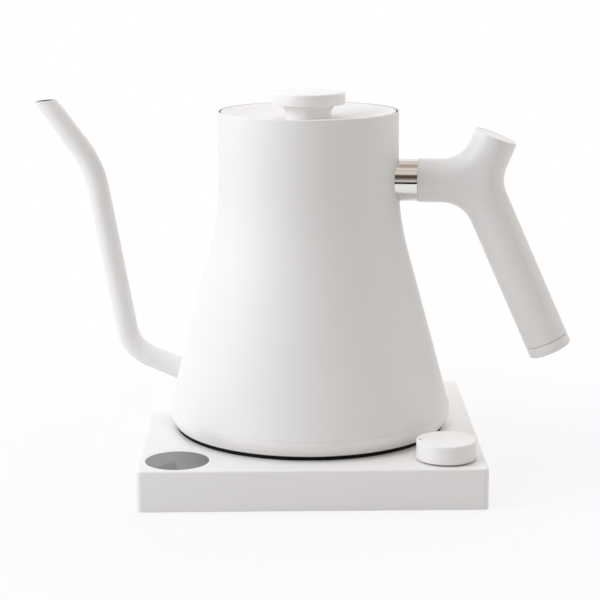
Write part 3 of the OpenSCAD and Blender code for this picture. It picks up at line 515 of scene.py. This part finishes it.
def polished_steel():
    """Polished stainless steel: sharp reflections, with faint polishing lines round it."""
    material, tree, coords, _, bsdf = surface("polished_steel", 0.6 * MM, Metallic=1.0)
    lines = fine_lines(tree, coords, (4000, 60, 60), 2.0)
    feed(tree, bsdf, tint(tree, lines, "e0dedc", "e8e6e4"), vary(tree, lines, 0.06, 0.12))
    return material


def brushed_steel(name, low, high, roughness):
    """Rolled or brushed stainless steel: a soft sheen drawn out along fine lines."""
    material, tree, coords, _, bsdf = surface(name, 0.5 * MM, Metallic=1.0)
    lines = fine_lines(tree, coords, (40, 40, 3500), 3.0)
    feed(tree, bsdf, tint(tree, lines, low, high), around(tree, lines, roughness),
         bump(tree, lines, 0.01 * MM, 0.3))
    return material


def metal(name, low, high, roughness):
    """Plain drawn or cast metal: fine mottling and an even, dull shine."""
    material, tree, _, noise, bsdf = surface(name, 0.8 * MM, Metallic=1.0)
    feed(tree, bsdf, tint(tree, noise, low, high), around(tree, noise, roughness),
         bump(tree, noise, 0.01 * MM, 0.4))
    return material


def display_glass():
    """Smoked acrylic lens: dark, with a hard gloss. Its clear coat adds a second, weaker mirror."""
    material, tree, _, noise, bsdf = surface("smoked_acrylic", 3 * MM, **{
        "IOR": 1.49, "Coat Weight": 0.4, "Coat IOR": 1.49, "Coat Roughness": 0.05})
    feed(tree, bsdf, tint(tree, noise, "3b3c3d", "414243"), vary(tree, noise, 0.03, 0.06))
    return material


def printed_board():
    """Glass-epoxy circuit board: green solder mask over copper tracks."""
    material, tree, coords, noise, bsdf = surface("green_solder_mask", 1.5 * MM, IOR=1.5)
    tracks = add(tree, "ShaderNodeTexBrick", links={
        "Vector": coords, "Scale": 1 / (6 * MM), "Mortar Size": 0.03,
        "Color1": rgb("1d4a2b"), "Color2": rgb("20512f"), "Mortar": rgb("2f6e42")})
    feed(tree, bsdf, tracks.outputs["Color"], vary(tree, noise, 0.3, 0.45))
    return material


POWDER_COAT = powder_coat()
SHELL_ABS = moulded_white("moulded_white_abs", "eeecea", "f1efed", 0.42, 0.6 * MM)
KNOB_ABS = moulded_white("moulded_white_knob_abs", "eeecea", "f1efed", 0.48, 0.5 * MM)
HANDLE_ABS = moulded_white("satin_white_handle", "e9e7e5", "ecebe9", 0.4, 0.8 * MM)
NYLON = black_plastic("black_nylon", "141415", "1e1e20", 0.5, 0.5)
# Black stand ring: its own matt black, darkened below the other black nylon as painted shade in the gap
# between band and base
STAND_NYLON_PAINTED_SHADE = black_plastic("matt_black_nylon_painted_gap_shade", "070708", "0b0b0c", 0.7, 0.15)
DOT_PAINT = black_plastic("grey_dot_paint", "4a4a4b", "545455", 0.6, 0.4)
RUBBER = soft_rubber("moulded_black_rubber", "1d1d1e", "29292a")
SILICONE = soft_rubber("food_grade_silicone", "cfccc8", "dad8d5")
# Lid seal coloured near black: painted shade, so the gap between the lid and the rim reads dark
GAP_SHADE_SILICONE = soft_rubber("seal_silicone_painted_gap_shade", "131314", "1a1a1b")
POLISHED = polished_steel()
# Spout's inside: steel darkened to near black, painted shade standing in for the dark inside of the
# tube
SPOUT_INSIDE_PAINTED_SHADE = brushed_steel("spout_inside_painted_shade_steel", "1e1b1b", "262323", 0.5)
BRUSHED = brushed_steel("brushed_stainless_steel", "a9a6a2", "bdbab6", 0.3)
PLAIN_STEEL = metal("zinc_plated_steel", "a3a4a6", "b9babc", 0.35)
CAST_METAL = metal("cast_aluminium", "8f9092", "a6a7a9", 0.5)
SHEATH = metal("annealed_element_sheath", "6f6a64", "8a8580", 0.45)
BRASS = metal("contact_brass", "b8923f", "cda85a", 0.28)
LENS = display_glass()
BOARD = printed_board()
BLUE_CASE = soft_rubber("blue_relay_case", "1a4a86", "1f5596")
YELLOW_TAPE = soft_rubber("yellow_winding_tape", "b8921f", "cba62c")
PANEL = soft_rubber("display_panel_film", "1f2123", "2a2d2f")

# CAD nodes that show: the round on their edges in mm, their finish, their slot and their body
SMOOTHED = (
    ("connector_socket", 0.3, NYLON, "black_plastic", "base"),
    ("cord_gland", 0.4, NYLON, "black_plastic", "base"),
    ("base_floor", 0.4, NYLON, "black_plastic", "base"),
    ("foot_ring", 0.5, RUBBER, "foot_rubber", "base"),
    ("base_screws", 0.2, PLAIN_STEEL, "plain_steel", "base"),
    ("hold_slider", 0.2, NYLON, "black_plastic", "hold"),
    ("unit_button", 0.3, NYLON, "black_plastic", "unit"),
    ("connector_plug", 0.3, NYLON, "black_plastic", "kettle"),
    # stand ring: black nylon darkened further as painted shade in the gap under the band
    ("bottom_cover", 0.25, STAND_NYLON_PAINTED_SHADE, "black_plastic", "kettle"),
    ("cover_screws", 0.2, PLAIN_STEEL, "plain_steel", "kettle"),
    ("water_floor", 0.3, BRUSHED, "brushed_steel", "kettle"),
    ("temperature_probe", 0.2, PLAIN_STEEL, "plain_steel", "kettle"),
    ("probe_seal", 0.2, SILICONE, "silicone", "kettle"),
    ("lid_skirt", 0.15, BRUSHED, "brushed_steel", "lid"),
    # lid seal: near black as painted shade in the gap at the rim
    ("lid_seal", 0.2, GAP_SHADE_SILICONE, "foot_rubber", "lid"),
    ("lid_screw", 0.2, PLAIN_STEEL, "plain_steel", "lid"),
    ("lid_washer", 0.15, PLAIN_STEEL, "plain_steel", "lid"),
)

# CAD nodes inside, which keep their shape, and what each is made of
NODE_FINISHES = {
    NYLON: ["hold_switch_body", "unit_switch_body", "overheat_cutout"],
    DOT_PAINT: ["knob_dot"],
    PLAIN_STEEL: ["socket_screws", "board_screws", "encoder_body", "encoder_shaft", "encoder_plunger",
                  "handle_stud"],
    CAST_METAL: ["heater_plate", "counterweight"],
    SHEATH: ["heating_element"],
    BRASS: ["socket_contacts", "plug_contacts", "handle_nut"],
    BOARD: ["control_board", "power_board"],
    BLUE_CASE: ["relay"],
    YELLOW_TAPE: ["transformer"],
    PANEL: ["display_panel"],
}


# ---- Base ----

def rear_hole(at, radius):
    """A cylinder through the base's rear wall, to cut with."""
    return place(rod(radius, -REAR_REACH, REAR_REACH), (at.x, REAR_FACE, at.z), (pi / 2, 0, 0))


def base_cover():
    """Moulded cover: a box with round corners and edges, hollow from below, with its holes."""
    half = BASE_SIDE / 2
    piece = block((-half, -half, base_low.z), (half, half, BASE_TOP))
    open_mesh(piece)
    select("EDGE", lambda e: abs(e.verts[0].co.z - e.verts[1].co.z) > BASE_WALL)
    bpy.ops.mesh.bevel(offset=BASE_CORNER, segments=12)
    select("FACE", lambda f: f.normal.z > 0.9)
    bpy.ops.mesh.region_to_loop()
    bpy.ops.mesh.bevel(offset=BASE_EDGE, segments=6)
    select("FACE", lambda f: f.normal.z < -0.9)
    bpy.ops.mesh.delete(type="FACE")
    close_mesh()
    apply_modifier(piece, "SOLIDIFY", thickness=BASE_WALL, offset=-1, use_even_offset=True)
    middle = (LENS_AT.x, LENS_AT.y)
    cut(piece,
        rod(SOCKET_R + PART_GAP, 0, BASE_TOP + MM, steps=ROUND),
        rod(LENS_R + PART_GAP, BASE_TOP - LENS_T, BASE_TOP + MM, middle, ROUND),
        rod(LENS_R - LENS_LEDGE, 0, BASE_TOP + MM, middle),
        rod(BUSHING_R + PART_GAP, 0, BASE_TOP + MM, (KNOB_AT.x, KNOB_AT.y)),
        rear_hole(GLAND_AT, GLAND_R + PART_GAP),
        rear_hole(BUTTON_AT, BUTTON_R + SLIDE_GAP),
        block((SLIDER_AT.x - THUMB[0] / 2 - SLIDE_GAP, REAR_FACE - REAR_REACH,
               SLIDER_AT.z - THUMB[1] / 2 - SLIDE_GAP),
              (SLIDER_AT.x + THUMB[0] / 2 + HOLD_TRAVEL + SLIDE_GAP, REAR_FACE + MM,
               SLIDER_AT.z + THUMB[1] / 2 + SLIDE_GAP)))
    for x in (screws_low.x + SCREW_HEAD_R, screws_high.x - SCREW_HEAD_R):
        for y in (screws_low.y + SCREW_HEAD_R, screws_high.y - SCREW_HEAD_R):
            boss = cut(rod(BOSS_R, FLOOR_TOP, BASE_ROOF + BOSS_SINK, (x, y), 48),
                       rod(SCREW_R, 0, BASE_ROOF - BOSS_ROOF, (x, y), 24))
            join(piece, boss)
    return finish(piece, "base_cover_shell", SHELL_ABS, "white_shell_plastic", "base", "base_cover")


def display_lens():
    """Round lens, flush with the base, with a fine bevel at its rim."""
    bevel = 0.2 * MM
    piece = turned([(0, 0), (LENS_R, 0), (LENS_R, LENS_T - bevel), (LENS_R - bevel, LENS_T),
                    (0, LENS_T)])
    place(piece, (LENS_AT.x, LENS_AT.y, lens_low.z))
    return finish(piece, "display_lens_disc", LENS, "display_glass", "base", "display_lens")


def control_knob():
    """Turned cap with a small round at its top edge, hollow underneath, and the dot's recess."""
    height = knob_high.z - knob_low.z
    roof = height - KNOB_ROOF
    boss = SHAFT_R + 2.5 * MM
    boss_foot = 1.9 * MM
    lip = 0.25 * MM
    piece = turned([(SHAFT_R, roof), (SHAFT_R, boss_foot), (boss, boss_foot), (boss, roof),
                    (KNOB_R - KNOB_WALL, roof), (KNOB_R - KNOB_WALL, 0), (KNOB_R - lip, 0)]
                   + arc((KNOB_R - lip, lip), lip, -pi / 2, 0, 3)[1:]
                   + arc((KNOB_R - KNOB_EDGE, height - KNOB_EDGE), KNOB_EDGE, 0, pi / 2, 8)
                   + [(0, height), (0, roof)])
    place(piece, (KNOB_AT.x, KNOB_AT.y, knob_low.z))
    dot_at = ((dot_low.x + dot_high.x) / 2, (dot_low.y + dot_high.y) / 2)
    dot_r = (dot_high.x - dot_low.x) / 2
    cut(piece, rod(dot_r + DOT_GAP, dot_low.z, knob_high.z + MM, dot_at, 32))
    return finish(piece, "control_knob_cap", KNOB_ABS, "white_knob_plastic", "knob", "control_knob")


# ---- Kettle ----

def shell_solid():
    """The body's outer form as a solid, to cut saddles with."""
    line = shell_line(0)
    return turned([(0, line[0][1])] + line + [(NECK_R, RIM_Z), (0, RIM_Z)])


def body_shell():
    """Spun steel body: cone, straight neck and rolled rim, coated outside and bare inside."""
    outer, inner = shell_line(0), shell_line(SHELL_WALL)
    foot = outer[0][1]
    lip = SHELL_WALL / 2
    piece = turned([(outer[0][0] - SEAM_EDGE, foot)] + [p for p in outer if p[1] > foot + SEAM_EDGE / 2]
                   + arc((NECK_R - lip, RIM_Z - lip), lip, 0, pi, 8)
                   + [(r, max(z, foot)) for r, z in reversed(inner)], steps=BODY_ROUND)
    root, rise = spout_root(), (-cos(SPOUT_RISE), sin(SPOUT_RISE))
    reach = 10 * MM
    cut(piece, along(rod(SPOUT_R, -reach / 2, reach), root, rise))
    on_base(piece)
    coat(piece, POWDER_COAT, BRUSHED)
    for face in piece.data.polygons:
        axis_side = face.normal.x * face.center.x + face.normal.y * face.center.y
        if axis_side < 0 and hypot(face.center.x, face.center.y) < BELLY_R:
            face.material_index = 1
    return finish(piece, "body_shell_spun", None, "white_powder_coat", "kettle", "body_shell")


def bottom_band():
    """White band below the seam: skin, lip inside the shell and flange for the screws."""
    centre = (BELLY_R - BELLY_ROUND, BELLY_Z)
    top = SEAM_Z - SEAM_GAP / 2
    high = asin((top - SEAM_EDGE - BELLY_Z) / BELLY_ROUND)
    skin = arc(centre, BELLY_ROUND, -BAND_ANGLE, high, 12)
    low = STAND_H
    inside = SHELL_WALL + PART_GAP
    lip_r = cone_radius(top + BAND_LIP) - inside
    flange = low + COVER_T + BAND_FLANGE
    share = (flange - low) / (skin[0][1] - low)
    skin_r = BAND_FOOT_R + (skin[0][0] - BAND_FOOT_R) * share - BAND_SKIN
    edge = 0.3 * MM
    lead = 0.2 * MM
    pad_r = COVER_SCREW_R - 4.5 * MM
    piece = turned([(BAND_FOOT_R - edge, low), (BAND_FOOT_R, low + edge)] + skin
                   + [(skin[-1][0] - SEAM_EDGE, top), (cone_radius(top) - inside, top),
                      (lip_r - lead, top + BAND_LIP), (lip_r - BAND_SKIN, top + BAND_LIP),
                      (BELLY_R - BAND_SKIN - MM, top), (skin_r, flange),
                      (pad_r, flange), (pad_r, low + COVER_T),
                      (STAND_R - MM, low + COVER_T), (STAND_R - MM, low)], steps=BODY_ROUND)
    on_base(piece)
    return finish(piece, "bottom_band_ring", SHELL_ABS, "white_shell_plastic", "kettle", "bottom_band")


def spout_root():
    """Where the spout's centre line starts, inside the shell's wall."""
    depth = SHELL_WALL + 0.5 * MM
    return -cone_radius(SPOUT_ROOT_Z) + depth, SPOUT_ROOT_Z - depth * tan(SPOUT_RISE)


def spout_path():
    """Centre line of the gooseneck, in the kettle's plane."""
    root = Vector(spout_root())
    low = Vector((-SPOUT_LOW_X, root.y + (SPOUT_LOW_X + root.x) * tan(SPOUT_RISE)))
    high = Vector((low.x - (SPOUT_HIGH_Z - low.y) * tan(SPOUT_LEAN), SPOUT_HIGH_Z))
    lip_z = SPOUT_MOUTH_Z - SPOUT_LIP * cos(SPOUT_LIP_LEAN)
    lip = Vector((high.x - (lip_z - SPOUT_HIGH_Z) * tan(SPOUT_TIP_LEAN), lip_z))
    end = lip + (SPOUT_LIP + 2 * SPOUT_TIP_R) * Vector((-sin(SPOUT_LIP_LEAN), cos(SPOUT_LIP_LEAN)))
    return ([root] + bend(root, low, high, SPOUT_BENDS[0], 24)[0]
            + bend(low, high, lip, SPOUT_BENDS[1], 20)[0]
            + bend(high, lip, end, SPOUT_BENDS[2], 8)[0] + [end])


def tube(points, radii):
    """An open tube along a line in the kettle's plane, with a radius at each point."""
    curve = bpy.data.curves.new("tube", "CURVE")
    curve.dimensions = "3D"
    curve.bevel_depth = 1
    curve.bevel_resolution = 12
    spline = curve.splines.new("POLY")
    spline.points.add(len(points) - 1)
    for target, point, radius in zip(spline.points, points, radii):
        target.co = (point[0], 0, point[1], 1)
        target.radius = radius
    piece = bpy.data.objects.new("tube", curve)
    bpy.context.scene.collection.objects.link(piece)
    only(piece)
    bpy.ops.object.convert(target="MESH")
    return bpy.context.object


def spout():
    """Drawn steel gooseneck, thin-walled and cut at the mouth: coated outside, with its inside steel
    darkened to near black as painted shade.
    """
    path = spout_path()
    runs = [0]
    for a, b in zip(path, path[1:]):
        runs.append(runs[-1] + (b - a).length)
    radii = [SPOUT_R + (SPOUT_TIP_R - SPOUT_R) * max(0, s / runs[-1] - SPOUT_TAPER_FROM)
             / (1 - SPOUT_TAPER_FROM) for s in runs]
    piece = tube(path, radii)
    open_mesh(piece)
    close_mesh()
    # The inside gets the near-black steel: painted shade in the tube
    coat(piece, POWDER_COAT, SPOUT_INSIDE_PAINTED_SHADE)
    apply_modifier(piece, "SOLIDIFY", thickness=SPOUT_WALL, offset=-1, use_even_offset=True,
                   material_offset=1)
    open_mesh(piece)
    out = (path[-1] - path[-2]).normalized()
    mouth = path[-1] - 2 * SPOUT_TIP_R * out
    level = Vector((-sin(MOUTH_LEAN), 0, cos(MOUTH_LEAN)))
    bpy.ops.mesh.bisect(plane_co=Vector((mouth.x, 0, mouth.y)) - MOUTH_TRIM * level,
                        plane_no=level, clear_outer=True)
    select("EDGE", lambda e: e.is_boundary)
    bpy.ops.mesh.bridge_edge_loops()
    close_mesh()
    for face in piece.data.polygons:
        if face.normal.dot(level) > LEVEL_FACE:
            face.material_index = 0
    on_base(piece)
    return finish(piece, "gooseneck_spout", None, "white_powder_coat", "kettle", "spout", smooth=50)


def ferrule():
    """Turned and polished sleeve, saddled on the neck."""
    start = NECK_R - FERRULE_SINK
    length = FERRULE_X - start
    edge = 0.3 * MM
    piece = turned([(FERRULE_R - FERRULE_WALL, 0), (FERRULE_R, 0)]
                   + arc((FERRULE_R - edge, length - edge), edge, 0, pi / 2, 4)
                   + [(FERRULE_R - FERRULE_WALL, length)])
    along(piece, (start, ARM_Z), (1, 0))
    cut(piece, shell_solid())
    on_base(piece)
    return finish(piece, "handle_ferrule", POLISHED, "polished_steel", "kettle", "ferrule")


def half_tube(start, end, start_split, end_split):
    """Half a tube round the fork's bend, on the side of the bend's centre.
    Each leg has a ring where the flat between the half tubes runs out."""
    points, centre, angle = bend(start, FORK, end, FORK_R, 2)
    along_start = (points[0] - start).normalized()
    side = (centre - points[0]).normalized()
    turn = -1 if along_start.x * side.y - along_start.y * side.x > 0 else 1
    first_point((start.x, -TUBE_R, start.y))
    bpy.ops.mesh.spin(steps=40, angle=-turn * pi, center=(start.x, 0, start.y),
                      axis=(along_start.x, 0, along_start.y))
    bpy.ops.mesh.select_all(action="SELECT")
    run(start, start_split, points[0])
    bpy.ops.mesh.spin(steps=28, angle=-turn * angle, center=(centre.x, 0, centre.y), axis=(0, 1, 0))
    run(points[-1], end_split, end)
    return close_mesh()


def run(*stops):
    """Extrudes what is selected from stop to stop, in the kettle's plane."""
    for a, b in zip(stops, stops[1:]):
        if (b - a).length > TOLERANCE:
            extrude((b.x - a.x, 0, b.y - a.y))


def cap_end(centre, direction):
    """Fills the open end of the handle at centre, and returns a test for what lies in its plane."""
    normal = Vector((direction[0], 0, direction[1]))
    middle = Vector((centre[0], 0, centre[1]))

    def in_plane(item):
        return all(abs((v.co - middle).dot(normal)) < 10 * TOLERANCE
                   and (v.co - middle).length < 1.2 * TUBE_R for v in item.verts)
    select("EDGE", lambda e: e.is_boundary and in_plane(e))
    bpy.ops.mesh.edge_face_add()
    return in_plane


def handle():
    """Forked handle: three half tubes round the bends, and a flat on each side between them."""
    grip_dir = Vector((sin(GRIP_LEAN), -cos(GRIP_LEAN)))
    stub_dir = Vector((sin(STUB_LEAN), cos(STUB_LEAN)))
    arm_end = Vector((FERRULE_X, ARM_Z))
    grip_end = Vector(FORK) + (GRIP_L - GRIP_CAP) * grip_dir - CAP_GAP * grip_dir
    stub_end = Vector(FORK) + STUB_L * stub_dir
    legs = [arm_end, stub_end, grip_end]
    pairs = ((0, 1), (1, 2), (2, 0))
    splits = [Vector(FORK)] * 3
    for a, b in pairs:
        points = bend(legs[a], FORK, legs[b], FORK_R, 2)[0]
        for leg, point in ((a, points[0]), (b, points[-1])):
            splits[leg] = max(splits[leg], point, key=lambda p: (p - Vector(FORK)).length)
    piece = join(*(half_tube(legs[a], legs[b], splits[a], splits[b]) for a, b in pairs))
    open_mesh(piece)
    bpy.ops.mesh.remove_doubles(threshold=10 * TOLERANCE)
    for side in (-1, 1):
        select("EDGE", lambda e: e.is_boundary
               and all(abs(v.co.y - side * TUBE_R) < TOLERANCE for v in e.verts))
        bpy.ops.mesh.edge_face_add()
    edge = 0.35 * MM
    for centre, direction in ((arm_end, Vector((-1, 0))), (grip_end, grip_dir)):
        test = cap_end(centre, direction)
        select("EDGE", lambda e: test(e) and len(e.link_faces) == 2)
        bpy.ops.mesh.bevel(offset=edge, segments=3)
    test = cap_end(stub_end, stub_dir)
    select("FACE", test)
    bpy.ops.mesh.inset(thickness=STUB_RIM)
    extrude(-STUB_CAP * Vector((stub_dir.x, 0, stub_dir.y)))
    select("EDGE", lambda e: test(e) and (e.verts[0].co - e.verts[1].co).length < 2 * MM
           and any(not test(f) for f in e.link_faces))
    bpy.ops.mesh.bevel(offset=STUB_EDGE, segments=2)
    close_mesh()
    apply_modifier(piece, "WEIGHTED_NORMAL", keep_sharp=True)
    on_base(piece)
    finish(piece, "forked_handle", HANDLE_ABS, "white_handle_plastic", "kettle", "handle_grip")

    radius = TUBE_R - STUB_RIM - PART_GAP
    disc = turned([(0, 0), (radius, 0)] + arc((radius - edge, STUB_DISC - edge), edge, 0, pi / 2, 4)
                  + [(0, STUB_DISC)])
    along(disc, stub_end - STUB_CAP * stub_dir, stub_dir)
    on_base(disc)
    finish(disc, "thumb_stub_disc", POWDER_COAT, "white_powder_coat", "kettle", "stub_cap")

    round_r = 1.2 * MM
    cap = turned([(0, 0), (TUBE_R - edge, 0)] + arc((TUBE_R - edge, edge), edge, -pi / 2, 0, 3)[1:]
                 + arc((TUBE_R - round_r, GRIP_CAP - round_r), round_r, 0, pi / 2, 8) + [(0, GRIP_CAP)])
    along(cap, Vector(FORK) + (GRIP_L - GRIP_CAP) * grip_dir, grip_dir)
    on_base(cap)
    return finish(cap, "grip_end_cap", HANDLE_ABS, "white_handle_plastic", "kettle", "grip_cap")


# ---- Lid ----

def lid_disc():
    """Pressed lid: a shallow dish with a small vent behind the knob."""
    centre = (0, RIM_Z - DISH_DEPTH + DISH_SPHERE)
    a_land = atan2(LAND_Z - centre[1], LAND_R)
    a_rim = atan2(RIM_Z - centre[1], DISH_R)
    bore = LID_SCREW_R + PART_GAP
    piece = turned([(bore, LAND_Z)] + arc(centre, DISH_SPHERE, a_land, a_rim, 24)
                   + arc((LID_R - LID_EDGE, RIM_Z - LID_EDGE), LID_EDGE, pi / 2, 0, 4)
                   + [(LID_R, RIM_Z - LID_T), (DISH_R, RIM_Z - LID_T - LID_EDGE)]
                   + arc(centre, DISH_SPHERE + LID_T, a_rim, a_land, 24) + [(bore, LAND_Z - LID_T)])
    cut(piece, rod(VENT_R, LAND_Z - 5 * MM, RIM_Z, (0, (LAND_R + DISH_R) / 2), 48))
    on_base(piece)
    return finish(piece, "lid_disc_pressed", POWDER_COAT, "white_powder_coat", "lid", "lid_disc")


def lid_knob():
    """Turned mushroom knob: flat top, short straight rim and a hollow fillet to the stem."""
    top = RIM_Z + HEAD_TOP
    under = top - HEAD_T
    edge = 1 * MM
    low_edge = 0.5 * MM
    screw_top = LAND_Z + 9 * MM
    piece = turned([(0, screw_top), (LID_SCREW_R, screw_top), (LID_SCREW_R, LAND_Z), (STEM_R, LAND_Z)]
                   + arc((STEM_R + STEM_FILLET, under - STEM_FILLET), STEM_FILLET, pi, pi / 2, 14)
                   + arc((HEAD_R - low_edge, under + low_edge), low_edge, -pi / 2, 0, 5)
                   + arc((HEAD_R - edge, top - edge), edge, 0, pi / 2, 8) + [(0, top)])
    on_base(piece)
    return finish(piece, "lid_knob_mushroom", KNOB_ABS, "white_knob_plastic", "lid", "lid_knob")


# ---- CAD pieces that keep their shape ----

def smoothed_nodes():
    """Smooth copies of the CAD nodes that show, each in place of its node."""
    for node, edge, material, slot, body in SMOOTHED:
        finish(smooth_copy(node, edge * MM), node + "_smooth", material, slot, body, node)


def node_finishes():
    """Gives each CAD node that stays its material."""
    for material, names in NODE_FINISHES.items():
        for name in names:
            for entry in frame["nodes"][name].material_slots:
                entry.material = material


# ---- Studio ----

CAMERA_AT = (-14.4 * MM, -955.7 * MM, 289.5 * MM)
CAMERA_PITCH, CAMERA_YAW, CAMERA_ROLL = 0.2070, 0.0100, -0.0049
FOCAL_SHARE = 1836.6 / 600  # focal length as a share of the picture's width
SENSOR = 36
WORLD_LIGHT = 0.455
TABLE_FRONT, TABLE_REAR = -0.62, 3

# Square lamps: name, place, size, power, colour, and whether polished metal mirrors them
SOFTBOXES = (
    ("key", (-1.3, -0.35, 0.75), 1.0, 13.4, "f3f8ff", True),
    ("top", (-0.2, 0.1, 1.5), 1.2, 8.2, "f3f8ff", False),
    ("rear", (0.7, 1.2, 0.9), 1.0, 6.2, "ffffff", False),
    ("side", (1.4, 0.1, 0.5), 0.6, 2.4, "fff8f2", True),
)
LAMPS_AIM = (0, 0, 0.1)

# The room in front, by the sine of the height above the horizon: what polished metal mirrors
ROOM = (
    (-0.1, "0c0a09"), (-0.07, "0c0a09"), (-0.055, "dcd6d1"), (0.08, "d4cdc8"), (0.17, "988f88"),
    (0.26, "847b74"), (0.34, "534a43"), (0.46, "554c46"), (0.53, "665b53"), (0.6, "b2a79f"),
    (0.66, "fff6f0"), (0.74, "d8cdc5"), (0.8, "efe2d8"), (0.86, "d9ccc2"), (0.9, "e1d4c8"),
    (0.94, "fffaf2"), (0.97, "d2c6b7"), (1, "b7ac9d"),
)


def camera():
    """Long lens a metre in front, looking down a little."""
    pitch, yaw, roll = CAMERA_PITCH, CAMERA_YAW, CAMERA_ROLL
    ahead = Vector((sin(yaw) * cos(pitch), cos(yaw) * cos(pitch), -sin(pitch)))
    right = ahead.cross(Vector((0, 0, 1))).normalized()
    up = right.cross(ahead)
    level = cos(roll) * right + sin(roll) * up
    upright = cos(roll) * up - sin(roll) * right
    data = bpy.data.cameras.new("camera")
    data.sensor_width = SENSOR
    data.lens = FOCAL_SHARE * SENSOR
    data.clip_end = 20
    rig = bpy.data.objects.new("camera", data)
    turn = Matrix((level, upright, -ahead)).transposed().to_4x4()
    rig.matrix_world = Matrix.Translation(CAMERA_AT) @ turn
    bpy.context.scene.collection.objects.link(rig)
    bpy.context.scene.camera = rig


def softbox(name, at, size, power, colour, mirrored):
    """A square area lamp that faces the object."""
    data = bpy.data.lights.new(name, "AREA")
    data.size = size
    data.energy = power
    data.color = rgb(colour)[:3]
    lamp = bpy.data.objects.new(name, data)
    lamp.location = at
    lamp.visible_glossy = mirrored
    lamp.rotation_euler = (Vector(LAMPS_AIM) - Vector(at)).to_track_quat("-Z", "Y").to_euler()
    bpy.context.scene.collection.objects.link(lamp)


def seen_directly(tree):
    """1 for rays that show the backdrop: to the camera, in a mirror or through glass."""
    path = add(tree, "ShaderNodeLightPath")
    gloss = add(tree, "ShaderNodeMath", {"operation": "MAXIMUM"}, {
        0: path.outputs["Is Glossy Ray"], 1: path.outputs["Is Transmission Ray"]})
    return path, add(tree, "ShaderNodeMath", {"operation": "MAXIMUM"}, {
        0: path.outputs["Is Camera Ray"], 1: gloss.outputs[0]}).outputs[0]


def world():
    """Even grey daylight, and a white backdrop behind the object; the room in front is dark."""
    sky = bpy.data.worlds.new("studio")
    bpy.context.scene.world = sky
    sky.use_nodes = True
    tree = sky.node_tree
    tree.nodes.clear()
    path, seen = seen_directly(tree)
    light = add(tree, "ShaderNodeBackground", links={"Color": rgb("fffaf6"), "Strength": WORLD_LIGHT})
    direction = add(tree, "ShaderNodeSeparateXYZ", links={
        "Vector": add(tree, "ShaderNodeTexCoord").outputs["Generated"]})
    sine = add(tree, "ShaderNodeMapRange", links={
        "Value": direction.outputs["Z"], "From Min": ROOM[0][0]})
    height = add(tree, "ShaderNodeValToRGB", links={"Fac": sine.outputs["Result"]})
    ramp = height.color_ramp
    ramp.elements[0].position, ramp.elements[0].color = 0.0, rgb(ROOM[0][1])
    ramp.elements[1].position, ramp.elements[1].color = 1.0, rgb(ROOM[-1][1])
    for position, code in ROOM[1:-1]:
        element = ramp.elements.new((position - ROOM[0][0]) / (1 - ROOM[0][0]))
        element.color = rgb(code)
    front = add(tree, "ShaderNodeMapRange", {"interpolation_type": "SMOOTHSTEP"}, {
        "Value": direction.outputs["Y"], "From Min": 0.72, "From Max": 0.6})
    room = add(tree, "ShaderNodeMix", {"data_type": "RGBA"}, {"Factor": front.outputs["Result"]})
    room.inputs[6].default_value = rgb("ffffff")
    tree.links.new(height.outputs["Color"], room.inputs[7])
    mirror = add(tree, "ShaderNodeMix", {"data_type": "RGBA"}, {
        "Factor": path.outputs["Is Camera Ray"]})
    tree.links.new(room.outputs[2], mirror.inputs[6])
    mirror.inputs[7].default_value = rgb("ffffff")
    backdrop = add(tree, "ShaderNodeBackground", links={"Color": mirror.outputs[2], "Strength": 1.0})
    mixed = add(tree, "ShaderNodeMixShader", links={
        0: seen, 1: light.outputs["Background"], 2: backdrop.outputs["Background"]})
    add(tree, "ShaderNodeOutputWorld", links={"Surface": mixed.outputs["Shader"]})


def floor():
    """White table: lit like paper, and lifted to white where it is seen, with the shadow kept."""
    bpy.ops.object.select_all(action="DESELECT")
    bpy.ops.mesh.primitive_plane_add(size=1)
    table = bpy.context.object
    table.name = "table"
    table.scale = (6, TABLE_REAR - TABLE_FRONT, 1)
    table.location = (0, (TABLE_REAR + TABLE_FRONT) / 2, 0)
    bpy.ops.object.transform_apply(location=True, rotation=True, scale=True)
    material = bpy.data.materials.new("white_table")
    material.use_nodes = True
    tree = material.node_tree
    tree.nodes.clear()
    path, seen = seen_directly(tree)
    paper = add(tree, "ShaderNodeBsdfDiffuse", links={"Color": rgb("e6e6e6")})
    white = add(tree, "ShaderNodeEmission", links={"Color": rgb("ffffff"), "Strength": 1.0})
    away = add(tree, "ShaderNodeVectorMath", {"operation": "LENGTH"}, {
        0: add(tree, "ShaderNodeTexCoord").outputs["Object"]})
    lift = add(tree, "ShaderNodeMapRange", {"interpolation_type": "SMOOTHSTEP"}, {
        "Value": away.outputs["Value"], "From Min": 0.13, "From Max": 0.35,
        "To Min": 0.8, "To Max": 1.0})
    share = add(tree, "ShaderNodeMath", {"operation": "MULTIPLY"}, {0: seen, 1: lift.outputs["Result"]})
    mixed = add(tree, "ShaderNodeMixShader", links={
        0: share.outputs[0], 1: paper.outputs["BSDF"], 2: white.outputs["Emission"]})
    add(tree, "ShaderNodeOutputMaterial", links={"Surface": mixed.outputs["Shader"]})
    table.data.materials.append(material)


camera()
world()
floor()
for lamp in SOFTBOXES:
    softbox(*lamp)

base_cover()
display_lens()
control_knob()
body_shell()
bottom_band()
spout()
ferrule()
handle()
lid_disc()
lid_knob()
smoothed_nodes()
node_finishes()

view = bpy.context.scene.view_settings
view.view_transform = "Standard"
